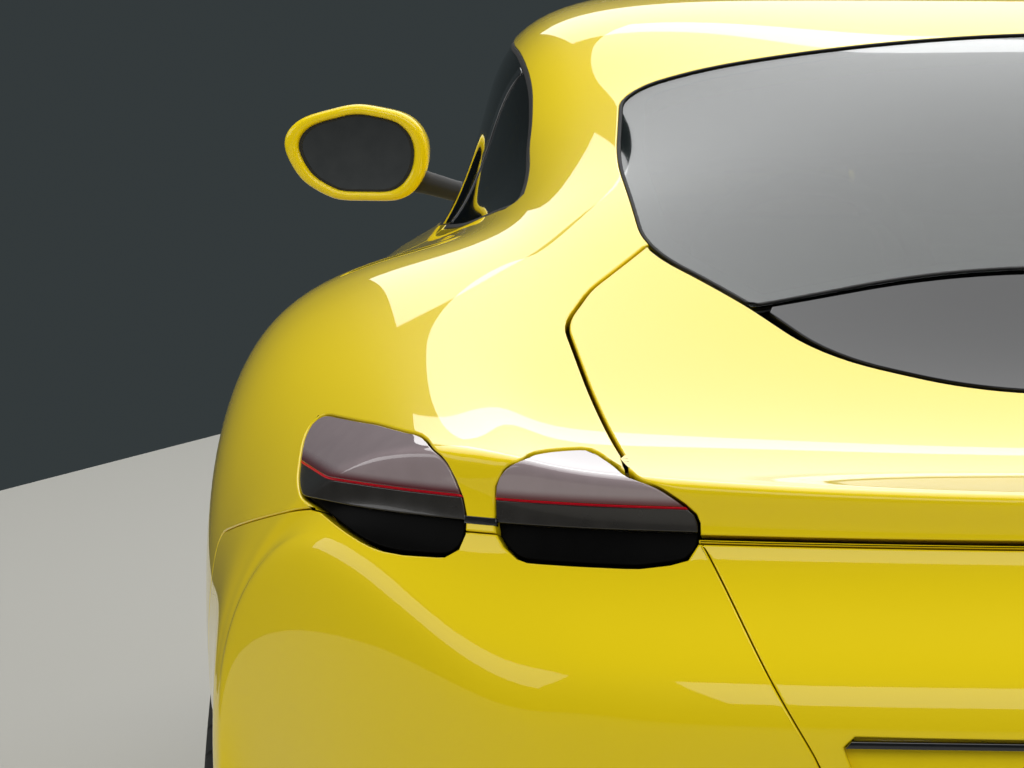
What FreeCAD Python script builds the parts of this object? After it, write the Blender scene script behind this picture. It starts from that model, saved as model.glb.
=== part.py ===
import FreeCAD, Part
import math
import os

# A two-door fastback coupe, in millimetres.
# X points forward, Y to the car's left, Z up. The origin is on the ground, midway along and across.
V = FreeCAD.Vector

# Overall sizes
LENGTH = 4656.0
WIDTH = 1974.0
HEIGHT = 1301.0
WHEELBASE = 2670.0
FRONT_AXLE_X = 1328.0
REAR_AXLE_X = FRONT_AXLE_X - WHEELBASE

# Wheels: one row per axle, with x, wheel centre y, tyre radius, tyre width, wheel arch radius
RIM_RADIUS = 254.0
TRACK_HALF = 826.0
AXLES = {
    "front": dict(x=FRONT_AXLE_X, y=TRACK_HALF, tyre=340.0, width=245.0, arch=380.0),
    "rear": dict(x=REAR_AXLE_X, y=TRACK_HALF, tyre=354.0, width=285.0, arch=386.0),
}
LINER_CLEARANCE = 12.0
LINER_WALL = 5.0

# Walls and gaps
PANEL_WALL = 24.0
SIDE_WALL = 40.0
ROOF_WALL = 34.0
DOOR_WALL = 70.0
LID_WALL = 22.0
FLAP_WALL = 12.0
GLASS_WALL = 6.0
BUMPER_WALL = 22.0
SHUT_GAP = 7.0
SEAT_GAP = 0.3

# The body surface is one smooth skin through these cross sections, nose to tail.
# Columns: name, x at the middle, how far the row is swept at its widest, height at the middle,
# then y and z of the rail, the belt, the crest, the widest line, the low line and the sill.
SECTIONS = [
    ("lip_front", 2230, -400, 150, 420, 150, 600, 152, 740, 156, 850, 165, 872, 170, 880, 172),
    ("chin", 2300, -455, 230, 430, 232, 620, 238, 770, 250, 885, 275, 915, 235, 905, 180),
    ("mouth", 2330, -540, 420, 440, 422, 630, 430, 780, 445, 915, 465, 935, 320, 920, 182),
    ("nose", 2325, -620, 560, 440, 566, 630, 580, 785, 592, 930, 560, 950, 370, 925, 184),
    ("bonnet_lip", 2255, -680, 665, 445, 676, 635, 690, 795, 684, 945, 610, 962, 400, 928, 186),
    ("hood_1", 2080, -620, 742, 460, 756, 645, 764, 820, 756, 958, 655, 968, 415, 930, 188),
    ("hood_2", 1800, -440, 812, 500, 826, 670, 836, 840, 836, 968, 695, 970, 425, 928, 190),
    ("hood_3", 1480, -220, 872, 560, 884, 710, 894, 862, 890, 978, 730, 968, 430, 924, 190),
    ("hood_4", 1150, -150, 922, 630, 926, 755, 918, 870, 896, 974, 735, 958, 430, 920, 190),
    ("hood_5", 900, -240, 950, 700, 945, 800, 926, 880, 888, 962, 725, 948, 430, 916, 190),
    ("cowl", 745, -330, 968, 745, 955, 820, 936, 888, 896, 954, 715, 940, 430, 912, 190),
    ("screen_1", 520, -300, 1080, 742, 1022, 836, 944, 896, 906, 950, 712, 938, 430, 910, 190),
    ("screen_2", 290, -240, 1190, 712, 1122, 842, 948, 904, 917, 950, 712, 938, 430, 910, 190),
    ("header", 80, -180, 1268, 696, 1206, 842, 952, 909, 925, 952, 715, 940, 430, 910, 190),
    ("roof_1", -110, -120, 1293, 700, 1252, 838, 960, 912, 930, 954, 718, 942, 432, 910, 190),
    ("roof_2", -360, -60, 1301, 692, 1264, 826, 974, 913, 935, 960, 724, 948, 436, 910, 190),
    ("roof_3", -620, 0, 1292, 664, 1250, 800, 990, 916, 946, 975, 738, 958, 442, 912, 192),
    ("roof_4", -860, 0, 1266, 610, 1190, 769, 1012, 921, 950, 980, 752, 966, 448, 914, 195),
    ("roof_5", -1100, 0, 1214, 572, 1142, 746, 1034, 923, 971, 985, 762, 970, 454, 915, 200),
    ("deck_1", -1320, 0, 1148, 540, 1106, 736, 1050, 925, 981, 988, 785, 972, 458, 914, 208),
    ("deck_2", -1540, 0, 1070, 540, 1052, 728, 1028, 898, 967, 976, 780, 957, 458, 910, 218),
    ("deck_3", -1780, 60, 980, 540, 994, 705, 990, 852, 940, 945, 745, 928, 456, 896, 232),
    ("deck_4", -2010, 180, 923, 525, 943, 685, 957, 815, 912, 928, 730, 916, 452, 882, 245),
    ("lip_top", -2188, 335, 911, 480, 921, 650, 935, 790, 905, 922, 716, 918, 450, 884, 258),
    ("lip_edge", -2230, 365, 905, 470, 914, 645, 928, 785, 895, 920, 708, 914, 448, 880, 264),
    ("lip_foot", -2226, 352, 862, 470, 866, 645, 872, 790, 872, 918, 700, 910, 446, 877, 268),
    ("shelf", -2262, 382, 806, 470, 806, 645, 810, 800, 850, 916, 692, 908, 444, 874, 272),
    ("crease", -2326, 438, 738, 460, 737, 640, 742, 806, 826, 912, 680, 902, 440, 868, 277),
    ("fascia_1", -2328, 430, 650, 440, 650, 620, 655, 780, 690, 900, 600, 894, 430, 862, 283),
    ("fascia_2", -2312, 402, 500, 420, 500, 610, 500, 762, 505, 866, 480, 880, 400, 857, 289),
    ("tail_low", -2272, 322, 345, 420, 345, 600, 345, 740, 345, 822, 342, 850, 322, 853, 293),
    ("tail_foot", -2200, 250, 288, 416, 288, 592, 288, 720, 288, 796, 288, 828, 288, 848, 290),
]
NOSE_SWEEP_POWER = 2.2
TAIL_SWEEP_POWER = 4.0
INNER_SHARE = 0.52
INNER_DROP = 0.24
PILLAR_CROWN = 5.0
SILL_COLUMN = 8


def section_points(row):
    """One section's nine points from the middle to the sill, and one more to end the curve."""
    _, x, sweep, top_z, rail_y, rail_z, belt_y, belt_z = row[:8]
    wide_y = row[10]
    inner = (INNER_SHARE * rail_y, top_z - INNER_DROP * (top_z - rail_z))
    crown = PILLAR_CROWN if rail_z - belt_z > 60.0 else 0.0
    middle = (0.5 * (rail_y + belt_y) + crown, 0.5 * (rail_z + belt_z) + crown)
    outer = [(row[i], row[i + 1]) for i in range(8, 16, 2)]
    half = [(0.0, top_z), inner, (rail_y, rail_z), middle, (belt_y, belt_z)] + outer
    power = NOSE_SWEEP_POWER if x > 0 else TAIL_SWEEP_POWER
    points = [V(x + sweep * min(1.0, y / wide_y) ** power, y, z) for y, z in half]
    points.append(points[-1] * 2 - points[-2])
    return points


def averaged(net, middle, side):
    """Each point moved towards its neighbours, by weights for itself and for each side."""
    rows = len(net)
    columns = len(net[0])
    along = [[net[max(i - 1, 0)][j] * side + net[i][j] * middle + net[min(i + 1, rows - 1)][j] * side
              for j in range(columns)] for i in range(rows)]
    return [[row[max(j - 1, 0)] * side + row[j] * middle + row[min(j + 1, columns - 1)] * side
             for j in range(columns)] for row in along]


def body_net():
    """Poles of the table's skin, right sill to left sill, pushed out so that it meets the table."""
    net = []
    for row in SECTIONS:
        left = section_points(row)
        right = [V(p.x, -p.y, p.z) for p in reversed(left[1:])]
        net.append(right + left)
    net.insert(0, [a * 2 - b for a, b in zip(net[0], net[1])])
    net.append([a * 2 - b for a, b in zip(net[-1], net[-2])])
    softened = averaged(net, 2.0 / 3.0, 1.0 / 6.0)
    return [[a * 2 - b for a, b in zip(row, soft)] for row, soft in zip(net, softened)]


def inward_net(net, depth):
    """The poles moved in by a wall's depth, along directions that change slowly."""
    rows = len(net)
    columns = len(net[0])
    normals = []
    for i in range(rows):
        line = []
        for j in range(columns):
            along = net[min(i + 1, rows - 1)][j] - net[max(i - 1, 0)][j]
            across = net[i][min(j + 1, columns - 1)] - net[i][max(j - 1, 0)]
            line.append(across.cross(along).normalize())
        normals.append(line)
    for _ in range(2):
        normals = averaged(normals, 0.5, 0.25)
        normals = [[n.normalize() for n in line] for line in normals]
    return [[p - n * depth for p, n in zip(row, line)] for row, line in zip(net, normals)]


def surface(net, rows, columns):
    """A cubic surface over part of the net; row and column numbers are those of the table."""
    row_knots = [float(i - 3) for i in range(len(net) + 4)]
    column_knots = [float(i - 3 - SILL_COLUMN) for i in range(len(net[0]) + 4)]
    shape = Part.BSplineSurface()
    shape.buildFromPolesMultsKnots(net, [1] * len(row_knots), [1] * len(column_knots),
                                   row_knots, column_knots, False, False, 3, 3)
    shape.segment(rows[0], rows[1], columns[0], columns[1])
    return shape


def table_extent(net, fineness=10):
    """Lowest and highest x, y and z of the table's own surface, from points spread over it."""
    last = len(SECTIONS) - 1
    shape = surface(net, (0, last), (-SILL_COLUMN, SILL_COLUMN))
    points = [shape.value(i / fineness, j / fineness)
              for i in range(last * fineness + 1)
              for j in range(-SILL_COLUMN * fineness, SILL_COLUMN * fineness + 1)]
    return [(min(axis), max(axis)) for axis in zip(*[(p.x, p.y, p.z) for p in points])]


# The table is stretched so that the finished body has the overall sizes
TABLE_NET = body_net()
(TABLE_TAIL, TABLE_NOSE), (TABLE_RIGHT, TABLE_LEFT), (_, TABLE_TOP) = table_extent(TABLE_NET)
TABLE_MIDDLE_X = 0.5 * (TABLE_NOSE + TABLE_TAIL)
STRETCH_X = LENGTH / (TABLE_NOSE - TABLE_TAIL)
STRETCH_Y = WIDTH / (TABLE_LEFT - TABLE_RIGHT)
STRETCH_Z = HEIGHT / TABLE_TOP


def body_point(x, y, z):
    """A point of the table or of an outline, stretched to the overall sizes."""
    return V((x - TABLE_MIDDLE_X) * STRETCH_X, y * STRETCH_Y, z * STRETCH_Z)


NET = [[body_point(p.x, p.y, p.z) for p in row] for row in TABLE_NET]


def skin(rows, columns, wall, sunk=0.0):
    """A closed wall under a stretch of the skin, its face sunk a little where glass sits in."""
    outer_net = inward_net(NET, sunk) if sunk else NET
    outer = surface(outer_net, rows, columns)
    inner = surface(inward_net(NET, sunk + wall), rows, columns)
    faces = [outer.toShape(), inner.toShape()]
    for number in rows:
        faces.append(Part.makeRuledSurface(outer.uIso(number).toShape(), inner.uIso(number).toShape()))
    for number in columns:
        faces.append(Part.makeRuledSurface(outer.vIso(number).toShape(), inner.vIso(number).toShape()))
    shell = Part.makeShell(faces)
    shell.sewShape()
    solid = Part.makeSolid(shell)
    if solid.Volume < 0:
        solid.reverse()
    return solid


# Outlines are lists of corners (a, b) or (a, b, radius); the radius rounds the corner.
PLANES = {
    "side": (lambda a, b: body_point(a, 0.0, b), V(0, 1, 0)),
    "plan": (lambda a, b: body_point(a, b, 0.0), V(0, 0, 1)),
    "rear": (lambda a, b: V(0.0, a * STRETCH_Y, b * STRETCH_Z), V(1, 0, 0)),
    "plain_side": (lambda a, b: V(a, 0.0, b), V(0, 1, 0)),
    "plain_plan": (lambda a, b: V(a, b, 0.0), V(0, 0, 1)),
    "plain_rear": (lambda a, b: V(0.0, a, b), V(1, 0, 0)),
}


def both_sides(half):
    """A whole outline from its left half, whose first and last corners lie on the middle line."""
    return half + [(a, -b, *r) for a, b, *r in reversed(half[1:-1])]


def outline(corners, plane):
    """A closed wire of lines and arcs."""
    place = PLANES[plane][0]
    points = [place(c[0], c[1]) for c in corners]
    radii = [c[2] if len(c) > 2 else 0.0 for c in corners]
    count = len(points)
    arcs = []
    for i, corner in enumerate(points):
        before = points[i - 1] - corner
        after = points[(i + 1) % count] - corner
        if radii[i] == 0.0:
            arcs.append((corner, None, corner))
            continue
        half_angle = 0.5 * before.getAngle(after)
        reach = min(radii[i] / math.tan(half_angle), 0.49 * before.Length, 0.49 * after.Length)
        radius = reach * math.tan(half_angle)
        first = corner + V(before).normalize() * reach
        last = corner + V(after).normalize() * reach
        inward = (V(before).normalize() + V(after).normalize()).normalize()
        middle = corner + inward * (radius / math.sin(half_angle) - radius)
        arcs.append((first, middle, last))
    edges = []
    for i, (first, middle, last) in enumerate(arcs):
        if middle is not None:
            edges.append(Part.Arc(first, middle, last).toShape())
        following = arcs[(i + 1) % count][0]
        if last.distanceToPoint(following) > 1e-6:
            edges.append(Part.LineSegment(last, following).toShape())
    return Part.Wire(edges)


def prism(corners, plane, low, high, grow=0.0):
    """The outline as a solid from low to high along the plane's normal."""
    face = Part.Face(outline(corners, plane))
    if grow:
        face = Part.Face(face.makeOffset2D(grow, 0, False, False, True).OuterWire)
    normal = PLANES[plane][1]
    face.translate(normal * low)
    return face.extrude(normal * (high - low))


def box(x0, x1, y0, y1, z0, z1):
    return Part.makeBox(x1 - x0, y1 - y0, z1 - z0, V(x0, y0, z0))


def rod(start, end, radius):
    start = V(*start)
    end = V(*end)
    return Part.makeCylinder(radius, (end - start).Length, start, end - start)


def mirrored(shape):
    return shape.mirror(V(0, 0, 0), V(0, 1, 0))


def joined(*shapes):
    """One solid from overlapping shapes."""
    return shapes[0].multiFuse(list(shapes[1:])).removeSplitter()


def without(shape, *tools):
    """The shape with the tools cut away, and only its largest solid kept."""
    rest = shape.cut(list(tools)) if len(tools) > 1 else shape.cut(tools[0])
    return max(rest.Solids, key=lambda s: s.Volume)


def within(shape, tool):
    rest = shape.common(tool)
    return max(rest.Solids, key=lambda s: s.Volume)


# Outlines on the body, in the planes named
BONNET = both_sides([(2215, 0, 2500), (2135, 430, 200), (1700, 640, 900), (508, 774, 8),
                     (690, 430, 700), (765, 0, 900)])
SCREEN = both_sides([(700, 0, 900), (640, 410, 700), (478, 738, 70), (2, 604, 90), (62, 330, 900),
                     (80, 0, 2500)])
REAR_GLASS = both_sides([(-846, 0, 2500), (-872, 470, 900), (-895, 562, 75), (-1150, 552, 1500),
                         (-1490, 502, 300), (-1652, 380, 4), (-1572, 190, 900), (-1560, 0, 900)])
FLAP = both_sides([(-1580, 0, 900), (-1590, 190, 900), (-1655, 368, 3), (-1768, 293, 350),
                   (-1838, 140, 400), (-1842, 0, 900)])
GLASS_AND_FLAP = both_sides([(-846, 0, 2500), (-872, 470, 900), (-895, 562, 75), (-1150, 552, 1500),
                             (-1490, 502, 300), (-1652, 380, 600), (-1768, 301, 400),
                             (-1845, 140, 400), (-1849, 0, 900)])
LID = both_sides([(-1400, 0), (-1400, 420), (-1484, 500, 4), (-1600, 552, 200), (-1700, 572, 160),
                  (-1880, 536, 900), (-2104, 488, 60), (-2190, 436, 60), (-2212, 408, 20),
                  (-2330, 408), (-2330, 0)])
LID_FOOT_Z = 866.0
DOOR = [(590, 932, 6), (436, 946, 300), (-250, 975, 2500), (-634, 1013, 6), (-738, 800, 500),
        (-650, 330, 110), (-560, 300, 60), (500, 300, 80), (560, 330, 80), (648, 620, 600)]
SIDE_GLASS = [(436, 946, 10), (-250, 968, 2500), (-900, 1035, 2500), (-1160, 1086, 14),
              (-1085, 1099, 20), (-911, 1131, 600), (-640, 1221, 1200), (-200, 1226, 600), (60, 1153, 600)]
DOOR_GLASS_END_X = -612.0
QUARTER_GLASS_START_X = -642.0
DOOR_SKIN = 14.0
DOOR_INSET = 14.0
ROOF_SIDE_Y = 604.0
FRONT_SEAM = [(2200, 1100), (2200, 775), (1850, 640), (1640, 525)]
REAR_SEAM = [(-2008, 858), (-1700, 785, 60), (-1640, 600)]
DOOR_POST_X = 597.0
BONNET_PIVOT_X = 497.0
BONNET_PIVOT_Z = 950.0
BONNET_PIN_RADIUS = 4.0
BONNET_EAR_RADIUS = 8.0
BONNET_EAR_Y = (750.0, 762.0)
LAMPS = {
    "outer": [(828, 906, 12), (745, 938, 200), (672, 940, 30), (641, 880, 50), (643, 834, 12),
              (730, 833, 120), (812, 862, 20)],
    "inner": [(609, 932, 22), (452, 926, 30), (411, 882, 20), (413, 847, 14), (470, 836, 60),
              (590, 836, 30), (609, 856, 20)],
}
HEADLAMP = [(548, 652, 16), (865, 690, 25), (880, 742, 20), (720, 730, 200), (552, 690, 14)]
GRILLE = both_sides([(300, 0, 3000), (306, 400, 60), (330, 470, 40), (455, 440, 60), (470, 0, 3000)])
GRILLE = [(y, z, *r) for z, y, *r in GRILLE]
CENTRE_PANEL = [(408, 1000), (408, 858), (292, 665, 200), (232, 500, 200), (226, 250)]
CENTRE_PANEL = CENTRE_PANEL + [(-y, z, *r) for y, z, *r in reversed(CENTRE_PANEL)]
PLATE_POCKET = [(275, 694, 10), (215, 545, 20), (-215, 545, 20), (-275, 694, 10)]
PLATE_POCKET_DEPTH = 14.0
FAR = 3000.0

# Boot lid hinges: a swan neck each side turns on a pin of the body; the flap turns on pins of the lid
LID_PIVOT_X = -1430.0
LID_PIVOT_Z = 1050.0
LID_PIN_RADIUS = 6.0
NECK_Y = (480.0, 496.0)
NECK_RADII = (95.0, 107.0)
NECK_SWEEP = 70.0
FLAP_PIVOT_X = -1668.0
FLAP_PIVOT_Z = 1012.5
FLAP_PIN_RADIUS = 3.0
PIN_CLEARANCE = 0.4

# Suspension and steering
STEERING_ARM = 115.0
STEERING_ARM_Z = 282.0
TIE_ROD_RADIUS = 9.0
RACK_Z = STEERING_ARM_Z - TIE_ROD_RADIUS - 1.5
RACK_HOLE_RADIUS = 18.0
RAIL_TOP_Z = 300.0
SUBFRAME_INNER_Y = {"front": 400.0 + SEAT_GAP, "rear": 330.0}

# Floor and inner structure
FLOOR_Z = 150.0
TYRE_TO_BOOT = 53.5
FLOOR_WALL = 18.0
SILL_INNER_Y = 800.0
SILL_TOP_Z = 275.0
BOOT_FLOOR_Z = 385.0
BOOT_TOP_Z = 835.0
AXLE_FLOOR_Z = 520.0
AXLE_FLOOR_END_X = -1560.0
BOOT_END_X = -2108.5
BOOT_HALF_WIDTH = TRACK_HALF - 0.5 * AXLES["rear"]["width"] - TYRE_TO_BOOT
TUNNEL_HALF_WIDTH = 115.0
TUNNEL_TOP_Z = 340.0
REAR_BULKHEAD_X = -1055.0
FIREWALL_X = 700.0
FIREWALL_WALL = 22.0
FIREWALL_TOP_Z = 878.0
COWL_WALL = 70.0
COWL_TRAY = 27.0


def lamp_prism(name, grow=0.0):
    return prism(LAMPS[name], "rear", -2500, -1700, grow)


def wheel_axis_cylinder(axle, radius, y0, y1):
    data = AXLES[axle]
    return Part.makeCylinder(radius, y1 - y0, V(data["x"], y0, data["tyre"]), V(0, 1, 0))


def arch_cut(axle):
    return wheel_axis_cylinder(axle, AXLES[axle]["arch"], 500.0, 1200.0)


def plan_tools():
    """Solids that cut the bonnet, glass, flap and lid openings out of the panels around them."""
    return dict(
        bonnet=prism(BONNET, "plan", 600, FAR, SHUT_GAP),
        screen=prism(SCREEN, "plan", 850, FAR),
        rear=prism(GLASS_AND_FLAP, "plan", 850, FAR),
        lid=prism(LID, "plan", LID_FOOT_Z - SHUT_GAP, FAR, SHUT_GAP),
    )


def left_body(tools):
    """The left side: wing, body side with sill, door and side glass."""
    side = skin((8.7, 26.0), (0.8, SILL_COLUMN), SIDE_WALL)
    outer = prism([(DOOR_POST_X, 100), (DOOR_POST_X, 1400), (-2500, 1400), (-2500, 860)] + REAR_SEAM
                  + [(-1640, 100)], "side", 0, FAR)
    side = within(side, outer)
    roof_box = box(-1050, 300, -ROOF_SIDE_Y, ROOF_SIDE_Y, 900, FAR)
    door_hole = prism(DOOR, "side", 500, FAR, SHUT_GAP)
    glass_hole = prism(SIDE_GLASS, "side", 500, FAR)
    side = without(side, tools["screen"], tools["rear"], tools["bonnet"], tools["lid"], roof_box)
    side = without(side, door_hole, glass_hole, arch_cut("rear"))
    side = without(side, lamp_prism("outer", SEAT_GAP), lamp_prism("inner", SEAT_GAP))
    post_x = body_point(DOOR_POST_X, 0, 0).x
    ear_notch = box(BONNET_PIVOT_X - 14, BONNET_PIVOT_X + 30, BONNET_EAR_Y[0] - 6, BONNET_EAR_Y[1] + 6,
                    850, FAR)
    side = without(side, ear_notch)
    bonnet_pin = rod((BONNET_PIVOT_X, BONNET_EAR_Y[0] - 26, BONNET_PIVOT_Z),
                     (BONNET_PIVOT_X, BONNET_EAR_Y[1], BONNET_PIVOT_Z), BONNET_PIN_RADIUS)
    sill = box(-925, post_x, SILL_INNER_Y, 890, FLOOR_Z, SILL_TOP_Z)
    hinge_pin = rod((LID_PIVOT_X, NECK_Y[0] - 4, LID_PIVOT_Z), (LID_PIVOT_X, 545, LID_PIVOT_Z),
                    LID_PIN_RADIUS)
    side = joined(side, sill, hinge_pin, bonnet_pin)

    wing = skin((2.9, 10.6), (0.8, SILL_COLUMN), PANEL_WALL)
    wing_end_x = DOOR_POST_X + SEAT_GAP
    wing_outline = [(wing_end_x, 100), (wing_end_x, 1100)] + FRONT_SEAM + [(1640, 100)]
    wing = within(wing, prism(wing_outline, "side", 0, FAR))
    headlamp = prism(HEADLAMP, "rear", 1500, 2500, SEAT_GAP)
    wing = without(wing, tools["bonnet"], door_hole, arch_cut("front"), headlamp, tools["screen"])
    front_sill = box(post_x + SEAT_GAP, 925, SILL_INNER_Y, 890, FLOOR_Z, SILL_TOP_Z)
    wing = joined(wing, front_sill)

    door_skin = within(skin((8.7, 18.0), (3.0, 7.9), DOOR_SKIN), prism(DOOR, "side", 500, FAR))
    door_box = within(skin((8.7, 18.0), (3.0, 7.9), DOOR_WALL, 0.5 * DOOR_SKIN),
                      prism(DOOR, "side", 500, FAR, -DOOR_INSET))
    door = joined(door_skin, door_box)

    glass = skin((9.5, 20.0), (1.0, 5.5), GLASS_WALL, 3.0)
    quarter = within(glass, prism(SIDE_GLASS, "side", 500, FAR, -SEAT_GAP))
    quarter = within(quarter, box(-FAR, QUARTER_GLASS_START_X, 0, FAR, 0, FAR))
    window = within(glass, prism(SIDE_GLASS, "side", 500, FAR, -SHUT_GAP))
    window = within(window, box(DOOR_GLASS_END_X, FAR, 0, FAR, 0, FAR))
    return dict(side=side, wing=wing, door=door, quarter=quarter, window=window)


def roof(tools):
    shape = skin((11.0, 19.5), (-2.6, 2.6), ROOF_WALL)
    shape = within(shape, box(-1050, 300, -ROOF_SIDE_Y, ROOF_SIDE_Y, 900, FAR))
    return without(shape, tools["screen"], tools["rear"])


def bonnet():
    """The lid over the engine, with an ear at each rear corner that turns on a pin of the body side."""
    shape = within(skin((3.4, 12.0), (-5.0, 5.0), LID_WALL), prism(BONNET, "plan", 400, FAR))
    y0, y1 = BONNET_EAR_Y
    eye = rod((BONNET_PIVOT_X, y0, BONNET_PIVOT_Z), (BONNET_PIVOT_X, y1, BONNET_PIVOT_Z), BONNET_EAR_RADIUS)
    ear = box(BONNET_PIVOT_X, BONNET_PIVOT_X + 34, y0, y1, BONNET_PIVOT_Z - BONNET_EAR_RADIUS,
              BONNET_PIVOT_Z)
    shape = joined(shape, eye, mirrored(eye), ear, mirrored(ear))
    bore = rod((BONNET_PIVOT_X, y0 - 2, BONNET_PIVOT_Z), (BONNET_PIVOT_X, y1 + 2, BONNET_PIVOT_Z),
               BONNET_PIN_RADIUS + PIN_CLEARANCE)
    return without(shape, bore, mirrored(bore))


def windscreen():
    return within(skin((9.6, 14.4), (-3.6, 3.6), GLASS_WALL, 2.0),
                  prism(SCREEN, "plan", 850, FAR, -SEAT_GAP))


def rear_glass():
    return within(skin((16.0, 22.0), (-3.0, 3.0), GLASS_WALL, 2.0),
                  prism(REAR_GLASS, "plan", 850, FAR, -SEAT_GAP))


def spoiler_flap():
    shape = within(skin((19.0, 22.6), (-2.6, 2.6), FLAP_WALL, 1.0), prism(FLAP, "plan", 850, FAR))
    bore = rod((FLAP_PIVOT_X, 335, FLAP_PIVOT_Z), (FLAP_PIVOT_X, 400, FLAP_PIVOT_Z),
               FLAP_PIN_RADIUS + PIN_CLEARANCE)
    return without(shape, bore, mirrored(bore))


def swan_neck():
    """An arc about the pivot that passes through the gap behind the glass, with a spoke and an eye."""
    y0, y1 = NECK_Y
    low_x = LID_PIVOT_X - 300.0 * math.cos(math.radians(NECK_SWEEP))
    low_z = LID_PIVOT_Z - 300.0 * math.sin(math.radians(NECK_SWEEP))

    def drum(radius, grow=0.0):
        return rod((LID_PIVOT_X, y0 - grow, LID_PIVOT_Z), (LID_PIVOT_X, y1 + grow, LID_PIVOT_Z), radius)

    wedge = prism([(LID_PIVOT_X, LID_PIVOT_Z), (LID_PIVOT_X - 300, LID_PIVOT_Z + 2), (low_x - 200, low_z),
                   (low_x, low_z)], "plain_side", y0, y1)
    arc = drum(NECK_RADII[1]).cut(drum(NECK_RADII[0], 1.0)).common(wedge)
    spoke = box(LID_PIVOT_X - NECK_RADII[1] + 2, LID_PIVOT_X, y0, y1, LID_PIVOT_Z - 12, LID_PIVOT_Z)
    spoke.rotate(V(LID_PIVOT_X, 0, LID_PIVOT_Z), V(0, 1, 0), -NECK_SWEEP)
    return joined(arc, spoke, drum(14.0)).cut(drum(LID_PIN_RADIUS + PIN_CLEARANCE, 1.0))


def boot_lid(tools):
    shape = within(skin((18.6, 25.6), (-3.6, 3.6), LID_WALL), prism(LID, "plan", LID_FOOT_Z, FAR))
    glass = prism(GLASS_AND_FLAP, "plan", 500, FAR, SHUT_GAP)
    lamps = lamp_prism("inner", SHUT_GAP)
    shape = without(shape, glass, lamps, mirrored(lamps))
    neck = swan_neck()
    pin = rod((FLAP_PIVOT_X, 342, FLAP_PIVOT_Z), (FLAP_PIVOT_X, 398, FLAP_PIVOT_Z), FLAP_PIN_RADIUS)
    return joined(shape, neck, mirrored(neck), pin, mirrored(pin))


def rear_bumper():
    shape = skin((20.4, 31.0), (-SILL_COLUMN, SILL_COLUMN), BUMPER_WALL)
    region = prism([(-2600, 60), (-2600, 860)] + REAR_SEAM + [(-1640, 60)], "side", -FAR, FAR)
    shape = within(shape, region)
    lid_gap = box(-2500, -1900, -415, 415, LID_FOOT_Z - SHUT_GAP, FAR)
    arch = arch_cut("rear")
    lamps = [lamp_prism(name, SEAT_GAP) for name in LAMPS]
    shape = without(shape, lid_gap, arch, mirrored(arch), *lamps, *[mirrored(s) for s in lamps])
    pipes = exhaust_window()
    shape = without(shape, pipes, mirrored(pipes), diffuser_window())
    centre = prism(CENTRE_PANEL, "rear", -2600, -2000)
    pocket_back = -0.5 * LENGTH + PLATE_POCKET_DEPTH
    pocket = prism(PLATE_POCKET, "rear", -2600, pocket_back)
    panel = without(shape.common(centre), pocket)
    corners = shape.cut(centre)
    return corners, panel


# Rear lower pieces
TAILPIPES_Y = (478.0, 590.0)
TAILPIPE_Z = 318.0
TAILPIPE_RADIUS = 46.0
TAILPIPE_END_X = -2238.0
PIPE_Y = 62.0
DIFFUSER_HALF_WIDTH = 400.0
DIFFUSER_TOP_Z = 372.0


def exhaust_window():
    y0 = TAILPIPES_Y[0] - TAILPIPE_RADIUS - 14.0
    y1 = TAILPIPES_Y[1] + TAILPIPE_RADIUS + 14.0
    z0 = TAILPIPE_Z - TAILPIPE_RADIUS - 12.0
    z1 = TAILPIPE_Z + TAILPIPE_RADIUS + 12.0
    return prism([(y0, z0, 50), (y1, z0, 50), (y1, z1, 50), (y0, z1, 50)], "plain_rear", -2600, -2000)


def diffuser_window():
    return box(-2600, -1900, -DIFFUSER_HALF_WIDTH, DIFFUSER_HALF_WIDTH, 0, DIFFUSER_TOP_Z)


def diffuser():
    tray = prism([(-1745, 150), (-2262, 352), (-2262, DIFFUSER_TOP_Z - SEAT_GAP),
                  (-2230, DIFFUSER_TOP_Z - SEAT_GAP), (-1745, 172)],
                 "plain_side", -DIFFUSER_HALF_WIDTH + SEAT_GAP, DIFFUSER_HALF_WIDTH - SEAT_GAP)
    pieces = [tray]
    count = 6
    spacing = 2 * (DIFFUSER_HALF_WIDTH - 30.0) / (count - 1)
    for i in range(count):
        y = -DIFFUSER_HALF_WIDTH + 30.0 + i * spacing
        pieces.append(prism([(-1800, 165), (-2256, 352), (-2256, 214, 20), (-1900, 150)],
                            "plain_side", y - 5.0, y + 5.0))
    return joined(*pieces)


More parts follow.
